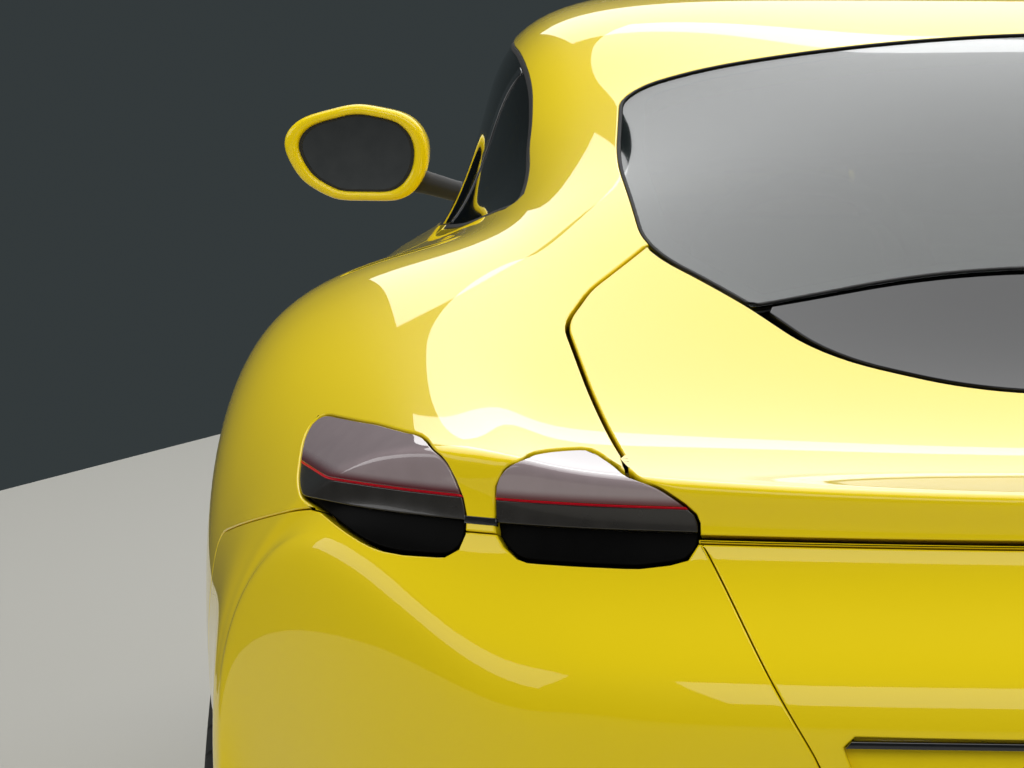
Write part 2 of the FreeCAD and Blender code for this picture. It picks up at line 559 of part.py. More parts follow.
def exhaust():
    """Each side: a silencer with two tailpipes, and a pipe forward along the tunnel."""
    sides = []
    for side in (1, -1):
        y0 = TAILPIPES_Y[0] - 50.0
        y1 = TAILPIPES_Y[1] + 50.0
        corners = [(y0 * side, 262, 40), (y1 * side, 262, 40), (y1 * side, 374, 40), (y0 * side, 374, 40)]
        pieces = [prism(corners, "plain_rear", -2100, -1790)]
        strap_y = side * 0.5 * (y0 + y1)
        for x in (-2060.0, -1860.0):
            pieces.append(box(x - 15, x + 15, strap_y - 25, strap_y + 25, 370, BOOT_FLOOR_Z - SEAT_GAP))
        for y in TAILPIPES_Y:
            pieces.append(rod((-2090, y * side, TAILPIPE_Z), (TAILPIPE_END_X, y * side, TAILPIPE_Z),
                              TAILPIPE_RADIUS))
        pipe_y = PIPE_Y * side
        pieces.append(rod((-1800, y0 * side + 30 * side, 318), (-1500, pipe_y, 235), 32.0))
        pieces.append(Part.makeSphere(33.0, V(-1500, pipe_y, 235)))
        pieces.append(rod((-1500, pipe_y, 235), (620, pipe_y, 235), 32.0))
        whole = joined(*pieces)
        bores = [rod((TAILPIPE_END_X + 70, y * side, TAILPIPE_Z), (TAILPIPE_END_X - 10, y * side, TAILPIPE_Z),
                     TAILPIPE_RADIUS - 4.0)
                 for y in TAILPIPES_Y]
        sides.append(without(whole, *bores))
    return Part.makeCompound(sides)


def tail_lamps():
    pieces = []
    for name in LAMPS:
        lens = within(skin((20.6, 27.0), (1.0, 6.6), 34.0, 1.0), lamp_prism(name))
        pieces += [lens, mirrored(lens)]
    return Part.makeCompound(pieces)


def headlamps():
    lens = within(skin((2.4, 8.0), (2.0, 6.4), 30.0, 1.0), prism(HEADLAMP, "rear", 1500, 2500))
    return Part.makeCompound([lens, mirrored(lens)])


def front_bumper(tools):
    shape = skin((0.0, 7.4), (-SILL_COLUMN, SILL_COLUMN), BUMPER_WALL)
    region = prism([(1640, 40), (2700, 40), (2700, 1100)] + FRONT_SEAM, "side", -FAR, FAR)
    shape = within(shape, region)
    lamp = prism(HEADLAMP, "rear", 1500, 2500, SEAT_GAP)
    arch = arch_cut("front")
    grille_hole = prism(GRILLE, "rear", 2000, 2500)
    return without(shape, tools["bonnet"], lamp, mirrored(lamp), arch, mirrored(arch), grille_hole)


def grille():
    return within(skin((0.4, 3.4), (-4.4, 4.4), 10.0, 5.0), prism(GRILLE, "rear", 2000, 2500, -SEAT_GAP))


def floor():
    """Floor pan with its tunnel, the step up to the boot floor, the boot walls and the front trays."""
    z0 = FLOOR_Z
    z1 = FLOOR_Z + FLOOR_WALL
    pan = prism([(925, -SILL_INNER_Y), (925, SILL_INNER_Y), (-925, SILL_INNER_Y), (-925, BOOT_HALF_WIDTH),
                 (REAR_BULKHEAD_X, BOOT_HALF_WIDTH), (REAR_BULKHEAD_X, -BOOT_HALF_WIDTH),
                 (-925, -BOOT_HALF_WIDTH), (-925, -SILL_INNER_Y)], "plain_plan", z0, z1)
    w = TUNNEL_HALF_WIDTH
    tunnel = box(REAR_BULKHEAD_X, FIREWALL_X, -w, w, z0, TUNNEL_TOP_Z)
    hollow = box(REAR_BULKHEAD_X - 10, FIREWALL_X + 10, -w + 8, w - 8, z0 - 10, TUNNEL_TOP_Z - 8)
    pan = without(joined(pan, tunnel), hollow)
    pieces = [pan]
    step_x = REAR_BULKHEAD_X - FLOOR_WALL
    step = box(step_x, REAR_BULKHEAD_X, -BOOT_HALF_WIDTH, BOOT_HALF_WIDTH, z0, 900)
    arch_way = box(step_x - 5, REAR_BULKHEAD_X + 5, -w + 8, w - 8, z0 - 10, TUNNEL_TOP_Z - 8)
    pieces.append(step.cut(arch_way))
    well_z = BOOT_FLOOR_Z + FLOOR_WALL
    axle_z = AXLE_FLOOR_Z + FLOOR_WALL
    boot_profile = [(BOOT_END_X, BOOT_FLOOR_Z), (BOOT_END_X, BOOT_TOP_Z),
                    (BOOT_END_X + FLOOR_WALL, BOOT_TOP_Z),
                    (BOOT_END_X + FLOOR_WALL, well_z), (AXLE_FLOOR_END_X - FLOOR_WALL, well_z),
                    (AXLE_FLOOR_END_X - FLOOR_WALL, axle_z), (REAR_BULKHEAD_X, axle_z),
                    (REAR_BULKHEAD_X, AXLE_FLOOR_Z), (AXLE_FLOOR_END_X, AXLE_FLOOR_Z),
                    (AXLE_FLOOR_END_X, BOOT_FLOOR_Z)]
    pieces.append(prism(boot_profile, "plain_side", -BOOT_HALF_WIDTH, BOOT_HALF_WIDTH))
    for side in (1, -1):
        y0, y1 = sorted((side * (BOOT_HALF_WIDTH - 12.0), side * BOOT_HALF_WIDTH))
        pieces.append(box(BOOT_END_X, AXLE_FLOOR_END_X, y0, y1, BOOT_FLOOR_Z, BOOT_TOP_Z))
        pieces.append(box(AXLE_FLOOR_END_X - 1, REAR_BULKHEAD_X, y0, y1, AXLE_FLOOR_Z, BOOT_TOP_Z))
    shelf = box(-1480, step_x, -480, 480, 884, 900)
    pieces.append(shelf)
    tray = both_sides([(2108, 0), (2108, 334), (1973, 592), (1840, 730), (1745, 730), (1745, 490),
                       (915, 490), (915, 0)])
    pieces.append(prism(tray, "plain_plan", z0, z1))
    for side in (1, -1):
        y0, y1 = sorted((side * 330.0, side * 400.0))
        rail = box(FIREWALL_X + FIREWALL_WALL, 2080, y0, y1, z1 - 4.0, RAIL_TOP_Z)
        rack_x = FRONT_AXLE_X + STEERING_ARM
        pieces.append(rail.cut(rod((rack_x, y0 - 5, RACK_Z), (rack_x, y1 + 5, RACK_Z),
                                   TIE_ROD_RADIUS + PIN_CLEARANCE)))
    member = [(-560, 250), (-420, z1 - 4.0), (420, z1 - 4.0), (560, 250), (560, 520), (-560, 520)]
    pieces.append(prism(member, "plain_rear", 2050, 2080))
    return joined(*pieces)


def firewall(tools):
    """The wall behind the engine, with the cowl strip between bonnet and windscreen."""
    strip = within(skin((8.8, 12.0), (-0.78, 0.78), COWL_WALL), box(600, 800, -400, 400, 600, FAR))
    strip = without(strip, prism(SCREEN, "plan", 600, FAR), tools["bonnet"])
    edge = FIREWALL_X + FIREWALL_WALL
    tray = prism(both_sides([(edge, 0), (edge, 690), (502, 690), (640, 410, 700), (700, 0, 900)]),
                 "plain_plan", FIREWALL_TOP_Z, FIREWALL_TOP_Z + COWL_TRAY)
    wall = box(FIREWALL_X, FIREWALL_X + FIREWALL_WALL, -760, 760, FLOOR_Z + FLOOR_WALL + SEAT_GAP,
               FIREWALL_TOP_Z)
    way = box(FIREWALL_X - 5, FIREWALL_X + FIREWALL_WALL + 5, -TUNNEL_HALF_WIDTH, TUNNEL_HALF_WIDTH,
              0, TUNNEL_TOP_Z)
    return joined(strip, tray, wall.cut(way))


def wheel_liners():
    """Half rings inside each arch, ending against the panel's inner face."""
    pieces = []
    for axle, rows, wall, inner_y in (("front", (2.0, 10.0), PANEL_WALL, 545.0),
                                      ("rear", (16.0, 24.0), SIDE_WALL, BOOT_HALF_WIDTH)):
        panel = skin(rows, (3.0, SILL_COLUMN), wall)
        data = AXLES[axle]
        r0 = data["arch"] + LINER_CLEARANCE
        ring = wheel_axis_cylinder(axle, r0 + LINER_WALL, inner_y, 1000.0)
        ring = ring.cut(wheel_axis_cylinder(axle, r0, inner_y - 5, 1005.0))
        ring = ring.cut(box(data["x"] - 600, data["x"] + 600, 0, 1200, 0, data["tyre"] + 60.0))
        liner = min(ring.cut(panel).Solids, key=lambda s: s.CenterOfMass.y)
        pieces += [liner, mirrored(liner)]
    return Part.makeCompound(pieces)


# Door mirrors
MIRROR_SECTIONS = [
    (412, [(1078, 1044, 24), (1060, 962, 30), (1000, 932, 34), (898, 942, 34), (882, 1000, 34),
           (906, 1056, 34), (990, 1062, 60)]),
    (450, [(1066, 1040, 30), (1052, 966, 34), (998, 938, 36), (908, 946, 34), (894, 1000, 34),
           (914, 1050, 34), (988, 1056, 60)]),
    (520, [(1028, 1018, 26), (1020, 976, 20), (986, 958, 20), (936, 962, 20), (926, 996, 20),
           (938, 1028, 20), (982, 1034, 30)]),
]


def door_mirror():
    rings = []
    for x, corners in MIRROR_SECTIONS:
        wire = outline(corners, "plain_rear")
        wire.translate(V(x, 0, 0))
        rings.append(wire)
    shell = Part.makeLoft(rings, True, False)
    glass_pocket = prism([(1066, 1034, 20), (1050, 970, 24), (1000, 943, 26), (906, 951, 26),
                          (894, 1000, 26), (914, 1048, 26), (990, 1052, 50)], "plain_rear", 400, 424)
    shell = without(shell, glass_pocket)
    arm = rod((468, 908, 985), (470, 850, 895), 13.0)
    body = skin((8.7, 14.0), (2.6, 7.9), 90.0, -SEAT_GAP)
    return without(joined(shell, arm), body)


# Wheels
HUB_RADIUS = 78.0
SPOKE_PAIRS = 5
DISC_RADIUS = 196.0
DISC_INNER_Y = -2.0
DISC_THICKNESS = 32.0
KINGPIN_INBOARD = 36.0
STUB_LENGTH = 54.0


def turned(profile, axle, side):
    """A solid turned about the wheel's axis; profile corners are (outward, radius)."""
    data = AXLES[axle]
    wire = outline([(side * (data["y"] + c[0]), data["tyre"] + c[1], *c[2:]) for c in profile],
                   "plain_rear")
    wire.translate(V(data["x"], 0, 0))
    return Part.Face(wire).revolve(V(data["x"], 0, data["tyre"]), V(0, 1, 0), 360)


def tyre(axle, side):
    data = AXLES[axle]
    w = 0.5 * data["width"]
    r = data["tyre"]
    bead = RIM_RADIUS + 0.5
    lip = w - 9.0 - SEAT_GAP
    return turned([(-w + 8, bead), (lip, bead), (lip, bead + 10), (w, bead + 34, 40),
                   (w - 6, r - 12, 22), (w - 34, r, 90),
                   (-w + 34, r, 90), (-w + 6, r - 12, 22), (-w, bead + 34, 40)], axle, side)


def rim(axle, side):
    """Barrel, five pairs of spokes and a hub face."""
    data = AXLES[axle]
    w = 0.5 * data["width"]
    x, y, z = data["x"], data["y"], data["tyre"]
    r = RIM_RADIUS
    barrel = turned([(-w + 9, r), (-w + 9, r - 14), (-w + 40, r - 22, 20), (w - 30, r - 16, 20),
                     (w - 6, r - 10), (w - 6, r + 10, 4), (w - 9, r + 10, 2), (w - 9, r)], axle, side)
    face_out = w - 14.0
    hub = turned([(face_out - 44, 30), (face_out - 44, HUB_RADIUS), (face_out - 14, HUB_RADIUS - 12, 8),
                  (face_out - 14, 30)], axle, side)
    pieces = [barrel, hub]
    for k in range(SPOKE_PAIRS):
        for lean in (-1, 1):
            corners = [(HUB_RADIUS - 20, -11.0), (HUB_RADIUS - 20, 11.0), (r - 12, 9.0), (r - 12, -9.0)]
            flat = Part.Face(outline([(x + a, z + b + lean * (12.0 + 0.16 * (a - HUB_RADIUS)))
                                      for a, b in corners], "plain_side"))
            flat.translate(V(0, side * (y + face_out - 40), 0))
            arm = flat.extrude(V(0, side * 30.0, 0))
            arm.rotate(V(x, 0, z), V(0, 1, 0), 360.0 * k / SPOKE_PAIRS)
            pieces.append(arm)
    return joined(*pieces)


def hub(axle, side):
    """Brake disc on its bell, with the stub axle; behind, the half shaft too."""
    data = AXLES[axle]
    w = 0.5 * data["width"]
    face = w - 14.0 - 44.0 - SEAT_GAP
    d0 = DISC_INNER_Y
    d1 = DISC_INNER_Y + DISC_THICKNESS
    profile = [(d0 - STUB_LENGTH, 5), (d0 - STUB_LENGTH, 26), (d0, 26), (d0, DISC_RADIUS),
               (d1, DISC_RADIUS), (d1, 82),
               (face, 82), (face, 5)]
    disc = turned(profile, axle, side)
    if axle == "front":
        return disc
    y = side * data["y"]
    inner = side * 150.0
    shaft = rod((data["x"], inner, data["tyre"]), (data["x"], y - side * 50.0, data["tyre"]), 17.0)
    return joined(disc, shaft)


def upright(axle, side):
    """The knuckle: a bearing housing on a post, a brake caliper and, in front, a steering arm."""
    data = AXLES[axle]
    x, z = data["x"], data["tyre"]
    post_y = data["y"] - KINGPIN_INBOARD
    housing = rod((x, side * (post_y - 26), z), (x, side * (post_y + 20), z), 62.0)
    post = rod((x, side * post_y, z - 128), (x, side * post_y, z + 128), 22.0)
    pins = rod((x, side * post_y, z - 150), (x, side * post_y, z + 150), 9.0)
    d0 = data["y"] + DISC_INNER_Y
    ring = wheel_axis_cylinder(axle, 226.0, d0 - 26, d0 + DISC_THICKNESS + 20)
    ring = ring.cut(wheel_axis_cylinder(axle, 128.0, d0 - 30, d0 + DISC_THICKNESS + 30))
    ring = ring.cut(wheel_axis_cylinder(axle, DISC_RADIUS + 5, d0 - 6, d0 + DISC_THICKNESS + 6))
    wedge = Part.Face(outline([(x, z), (x - 260, z + 120), (x - 260, z - 120)], "plain_side"))
    wedge.translate(V(0, 500, 0))
    caliper = ring.common(wedge.extrude(V(0, 600, 0)))
    if side < 0:
        caliper = mirrored(caliper)
    y0, y1 = sorted((side * (post_y - 20), side * (d0 - 8)))
    bracket = box(x - 150, x - 10, y0, y1, z - 22, z + 22)
    pieces = [housing, post, pins, caliper, bracket]
    if axle == "front":
        arm_y0, arm_y1 = sorted((side * (post_y - 24), side * (post_y + 6)))
        pieces.append(box(x, x + STEERING_ARM + 16, arm_y0, arm_y1, STEERING_ARM_Z, STEERING_ARM_Z + 18))
    whole = joined(*pieces)
    bore = rod((x, side * (post_y - 40), z), (x, side * (post_y + 60), z), 26.0 + PIN_CLEARANCE)
    bell_room = rod((x, side * (d0 - 10), z), (x, side * (d0 + 60), z), 90.0)
    return without(whole, bore, bell_room)


def suspension_arms(axle, side):
    """A lower and an upper arm from the subframe to the upright's pins."""
    data = AXLES[axle]
    x, z = data["x"], data["tyre"]
    post_y = data["y"] - KINGPIN_INBOARD
    inner_y = max(392.0, SUBFRAME_INNER_Y[axle])
    arms = []
    for height, spread in ((z - 142, 150.0), (z + 130, 110.0)):
        corners = [(x - 26, post_y + 20, 18), (x + 26, post_y + 20, 18), (x + 34, post_y - 120, 60),
                   (x + spread, inner_y, 12), (x + spread - 40, inner_y, 12), (x, post_y - 150, 30),
                   (x - spread + 40, inner_y, 12), (x - spread, inner_y, 12), (x - 34, post_y - 120, 60)]
        arm = prism(corners, "plain_plan", height, height + 12)
        arm = arm.cut(rod((x, post_y, height - 5), (x, post_y, height + 20), 9.0 + PIN_CLEARANCE))
        arms.append(arm if side > 0 else mirrored(arm))
    return arms


def suspension(axle):
    data = AXLES[axle]
    x, z = data["x"], data["tyre"]
    pieces = []
    for side in (1, -1):
        pieces += suspension_arms(axle, side)
        y0, y1 = sorted((side * SUBFRAME_INNER_Y[axle], side * 412.0))
        for sx in (-1, 1):
            for height, spread in ((z - 142, 150.0), (z + 130, 110.0)):
                cx = x + sx * (spread - 20)
                pieces.append(box(cx - 22, cx + 22, y0, y1, height - 14, height + 26))
            px = x + sx * 130
            pieces.append(box(px - 30, px + 30, y0, y1, z - 156, z + 156))
    if axle == "front":
        pieces.append(box(x - 150, x + 150, -412, 412, RAIL_TOP_Z + SEAT_GAP, RAIL_TOP_Z + 30))
        rack_x = x + STEERING_ARM
        return joined(*pieces).cut(rod((rack_x, -450, RACK_Z), (rack_x, 450, RACK_Z), RACK_HOLE_RADIUS))
    pieces.append(box(x - 160, x + 160, -400, 400, z + 120, AXLE_FLOOR_Z - SEAT_GAP))
    pieces.append(box(x - 140, x + 140, -120, 120, z - 60, z + 130))
    return joined(*pieces)


def steering_rack():
    """The rack bar with a tie rod each way; its ends lie just under the steering arms."""
    x = FRONT_AXLE_X + STEERING_ARM
    end_y = TRACK_HALF - KINGPIN_INBOARD - 9.0
    z = RACK_Z
    bar = rod((x, -end_y, z), (x, end_y, z), TIE_ROD_RADIUS)
    eyes = [Part.makeCylinder(15.0, 16.0, V(x, s * end_y, z - 8.0)) for s in (1, -1)]
    return joined(bar, *eyes)


# Cabin
SEAT_Y = 370.0
SEAT_HALF_WIDTH = 250.0
WHEEL_HUB = V(330.0, SEAT_Y, 812.0)
STEERING_WHEEL_RADIUS = 178.0
COLUMN_TILT = 21.0
COLUMN_RADIUS = 30.0
COLUMN_LENGTH = 115.0
DASH_TOP_Z = 892.0


def front_seats():
    seat_foot = FLOOR_Z + FLOOR_WALL + SEAT_GAP
    profile = [(130, seat_foot, 20), (150, 330, 50), (-270, 285, 60), (-330, 420, 160), (-560, 1010, 60),
               (-640, 1040, 50), (-660, 960, 60), (-480, 400, 200), (-420, seat_foot, 30)]
    pieces = []
    for side in (1, -1):
        y0 = side * SEAT_Y - SEAT_HALF_WIDTH
        cushion = prism(profile, "plain_side", y0, y0 + 2 * SEAT_HALF_WIDTH)
        slot = box(-700, -300, y0 - 10, y0 + 110, 820, 1200)
        slot_2 = box(-700, -300, y0 + 390, y0 + 2 * SEAT_HALF_WIDTH + 10, 820, 1200)
        dish = prism([(200, 312), (-262, 268), (-318, 420, 160), (-500, 880), (0, 900)],
                     "plain_side", y0 + 100, y0 + 400)
        raised = prism([(140, 300), (-280, 250), (-345, 420, 160), (-500, 820), (-430, 820, 20),
                        (-255, 420, 120), (-200, 345, 60), (100, 375, 30)],
                       "plain_side", y0, y0 + 2 * SEAT_HALF_WIDTH)
        bolstered = joined(cushion, raised)
        pieces.append(without(bolstered, slot, slot_2, dish))
    return Part.makeCompound(pieces)


def rear_seats():
    profile = [(-700, 168.3), (-690, 330, 50), (-930, 300, 60), (-1020, 640, 50),
               (REAR_BULKHEAD_X + 0.3, 660, 10),
               (REAR_BULKHEAD_X + 0.3, 168.3)]
    pieces = []
    for side in (1, -1):
        y0, y1 = sorted((side * (TUNNEL_HALF_WIDTH + 10), side * 560.0))
        pieces.append(prism(profile, "plain_side", y0, y1))
    return Part.makeCompound(pieces)


def dashboard():
    """The dash across the cabin with a binnacle, and the console along the tunnel."""
    dash = prism([(FIREWALL_X - SEAT_GAP, 620), (470, 640, 30), (420, 760, 60), (392, DASH_TOP_Z - 40, 40),
                  (450, DASH_TOP_Z, 60), (510, DASH_TOP_Z - 26, 40),
                   (FIREWALL_X - SEAT_GAP, DASH_TOP_Z - 32)],
                 "plain_side", -760, 760)
    hood = prism([(470, DASH_TOP_Z - 60), (400, DASH_TOP_Z - 40, 20), (410, DASH_TOP_Z + 38, 30),
                  (510, DASH_TOP_Z + 20, 50), (545, DASH_TOP_Z - 40)],
                 "plain_side", SEAT_Y - 170, SEAT_Y + 170)
    console = prism([(500, TUNNEL_TOP_Z + SEAT_GAP), (500, 700), (440, 690, 60), (300, 520, 80),
                     (-420, 480, 80), (-520, TUNNEL_TOP_Z + SEAT_GAP)], "plain_side", -105, 105)
    bore = on_column(rod((40, 0, 0), (COLUMN_LENGTH + 3.0, 0, 0), COLUMN_RADIUS + PIN_CLEARANCE))
    return without(joined(dash, hood, console), bore)


def on_column(shape):
    """A shape built about the X axis, tilted and set at the steering wheel's hub."""
    shape.rotate(V(0, 0, 0), V(0, 1, 0), COLUMN_TILT)
    shape.translate(WHEEL_HUB)
    return shape


def steering_wheel():
    """Rim, three spokes and boss, with the column behind, built level and then tilted."""
    ring = Part.makeTorus(STEERING_WHEEL_RADIUS, 15.0, V(0, 0, 0), V(1, 0, 0))
    boss = rod((-8, 0, 0), (34, 0, 0), 52.0)
    spokes = [box(-4, 12, -STEERING_WHEEL_RADIUS, STEERING_WHEEL_RADIUS, -16, 16),
              box(-4, 12, -16, 16, -STEERING_WHEEL_RADIUS, 0)]
    column = rod((20, 0, 0), (COLUMN_LENGTH, 0, 0), COLUMN_RADIUS)
    return on_column(joined(ring, boss, column, *spokes))


def engine():
    """A plain block with its gearbox, resting on the front tray."""
    block = box(740, 1170, -240, 240, FLOOR_Z + FLOOR_WALL + SEAT_GAP, 560)
    head = box(760, 1150, -300, 300, 470, 760)
    return joined(block, head)


def write_parts():
    tools = plan_tools()
    left = left_body(tools)
    corners, panel = rear_bumper()
    parts = dict(
        floor=floor(),
        body_side_left=left["side"],
        body_side_right=mirrored(left["side"]),
        roof=roof(tools),
        windscreen=windscreen(),
        rear_window=rear_glass(),
        quarter_glass=Part.makeCompound([left["quarter"], mirrored(left["quarter"])]),
        bonnet=bonnet(),
        front_wings=Part.makeCompound([left["wing"], mirrored(left["wing"])]),
        front_bumper=front_bumper(tools),
        grille=grille(),
        headlamps=headlamps(),
        door_left=left["door"],
        door_right=mirrored(left["door"]),
        door_glass_left=left["window"],
        door_glass_right=mirrored(left["window"]),
        mirror_left=door_mirror(),
        mirror_right=mirrored(door_mirror()),
        boot_lid=boot_lid(tools),
        spoiler_flap=spoiler_flap(),
        rear_bumper=corners,
        plate_panel=panel,
        tail_lamps=tail_lamps(),
        diffuser=diffuser(),
        exhaust=exhaust(),
        wheel_liners=wheel_liners(),
        firewall=firewall(tools),
        engine=engine(),
        front_suspension=suspension("front"),
        rear_suspension=suspension("rear"),
        steering_rack=steering_rack(),
        front_seats=front_seats(),
        rear_seats=rear_seats(),
        dashboard=dashboard(),
        steering_wheel=steering_wheel(),
    )
    for axle in AXLES:
        for name, side in (("left", 1), ("right", -1)):
            parts[f"rim_{axle}_{name}"] = rim(axle, side)
            parts[f"tyre_{axle}_{name}"] = tyre(axle, side)
            parts[f"hub_{axle}_{name}"] = hub(axle, side)
    for name, side in (("left", 1), ("right", -1)):
        parts[f"knuckle_{name}"] = upright("front", side)
    parts["rear_uprights"] = Part.makeCompound([upright("rear", side) for side in (1, -1)])
    os.makedirs("parts", exist_ok=True)
    for name, shape in parts.items():
        print(name, len(shape.Solids), shape.isValid(), round(shape.Volume / 1e6, 2),
              [round(v) for v in (shape.BoundBox.XMin, shape.BoundBox.XMax, shape.BoundBox.YMin,
                                  shape.BoundBox.YMax, shape.BoundBox.ZMin, shape.BoundBox.ZMax)])
        shape.exportStep(f"parts/{name}.step")


write_parts()
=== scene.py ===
import math

import bmesh
import bpy
import numpy as np
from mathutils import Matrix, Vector


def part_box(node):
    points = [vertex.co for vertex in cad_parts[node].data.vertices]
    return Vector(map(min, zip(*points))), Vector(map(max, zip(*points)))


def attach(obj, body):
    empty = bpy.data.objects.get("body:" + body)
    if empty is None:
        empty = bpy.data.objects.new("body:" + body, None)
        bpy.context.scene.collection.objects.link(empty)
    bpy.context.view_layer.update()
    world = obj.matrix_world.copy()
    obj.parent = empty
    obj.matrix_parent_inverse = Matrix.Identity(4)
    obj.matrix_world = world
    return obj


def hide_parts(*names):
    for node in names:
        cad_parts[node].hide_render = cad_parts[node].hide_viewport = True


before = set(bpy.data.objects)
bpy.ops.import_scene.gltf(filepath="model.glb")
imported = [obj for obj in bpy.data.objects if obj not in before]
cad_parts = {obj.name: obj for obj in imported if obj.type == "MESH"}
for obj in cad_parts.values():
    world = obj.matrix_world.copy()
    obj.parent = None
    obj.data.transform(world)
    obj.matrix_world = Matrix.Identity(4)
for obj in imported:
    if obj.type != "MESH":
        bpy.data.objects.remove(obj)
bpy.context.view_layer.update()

# The studio: a pale floor that ends along a slanted line on the car's left, a surround that looks dark but
# gives an even soft light, large soft lights overhead, and the camera low behind the car.
floor_mesh = bpy.data.meshes.new("studio_floor")
floor_corners = [(-16, -12, 0), (30, -12, 0), (20, -3.78, 0),
                 (4.95, 1.797, 0), (-14.4, 8.97, 0), (-16, 8.97, 0)]
floor_mesh.from_pydata(floor_corners, [], [tuple(range(len(floor_corners)))])
floor = bpy.data.objects.new("studio_floor", floor_mesh)
bpy.context.scene.collection.objects.link(floor)

floor_finish = bpy.data.materials.new("pale_floor")
floor_finish.use_nodes = True
floor_shader = floor_finish.node_tree.nodes["Principled BSDF"]
floor_shader.inputs["Base Color"].default_value = (0.40, 0.395, 0.36, 1)
floor_shader.inputs["Roughness"].default_value = 0.55
floor_mesh.materials.append(floor_finish)

surround = bpy.data.worlds.new("dark_surround")
surround.use_nodes = True
nodes, links = surround.node_tree.nodes, surround.node_tree.links
path = nodes.new("ShaderNodeLightPath")
seen = nodes.new("ShaderNodeMath")
seen.operation = "MAXIMUM"
seen_or_through = nodes.new("ShaderNodeMath")
seen_or_through.operation = "MAXIMUM"
level = nodes.new("ShaderNodeMix")
level.data_type = "RGBA"
soft_level, dark_level = level.inputs[6], level.inputs[7]
soft_level.default_value = (0.40, 0.40, 0.40, 1)
dark_level.default_value = (0.034, 0.042, 0.044, 1)
links.new(path.outputs["Is Camera Ray"], seen.inputs[0])
links.new(path.outputs["Is Glossy Ray"], seen.inputs[1])
links.new(seen.outputs["Value"], seen_or_through.inputs[0])
links.new(path.outputs["Is Transmission Ray"], seen_or_through.inputs[1])
links.new(seen_or_through.outputs["Value"], level.inputs[0])
links.new(level.outputs[2], nodes["Background"].inputs["Color"])
bpy.context.scene.world = surround


def soft_light(name, place, aim, width, height, strength):
    """A rectangular soft light; strength is the brightness of its face."""
    lamp = bpy.data.lights.new(name, "AREA")
    lamp.shape = "RECTANGLE"
    lamp.size = width
    lamp.size_y = height
    lamp.energy = strength * width * height * math.pi
    holder = bpy.data.objects.new(name, lamp)
    holder.location = place
    holder.rotation_mode = "QUATERNION"
    holder.rotation_quaternion = (Vector(aim) - Vector(place)).to_track_quat("-Z", "Y")
    holder.visible_camera = False
    bpy.context.scene.collection.objects.link(holder)
    return holder


soft_light("ceiling_light", (2.2, -0.2, 5.2), (1.6, 0.0, 0.0), 7.0, 9.0, 1.7)
soft_light("rear_fill_light", (-11.0, -1.5, 6.5), (-2.0, 0.0, 0.4), 11.0, 5.0, 1.9)
soft_light("left_fill_light", (-3.0, 8.5, 4.2), (-1.0, 0.6, 0.5), 10.0, 3.0, 1.5)
soft_light("right_fill_light", (-1.0, -8.5, 4.2), (-0.5, -0.6, 0.5), 10.0, 3.0, 1.5)
soft_light("front_fill_light", (10.0, -1.0, 5.0), (1.5, 0.0, 0.5), 9.0, 3.0, 1.5)

camera_data = bpy.data.cameras.new("camera")
camera_data.lens = 194.9
camera_data.sensor_width = 36.0
camera_data.clip_end = 200.0
camera = bpy.data.objects.new("camera", camera_data)
camera.location = (-7.438, 0.196, 1.658)
camera.rotation_mode = "QUATERNION"
camera_yaw, camera_dip = 0.075, 0.123
camera.rotation_quaternion = Vector((math.cos(camera_yaw) * math.cos(camera_dip),
                                     math.sin(camera_yaw) * math.cos(camera_dip),
                                     -math.sin(camera_dip))).to_track_quat("-Z", "Y")
bpy.context.scene.collection.objects.link(camera)
bpy.context.scene.camera = camera
bpy.context.scene.view_settings.view_transform = "Standard"

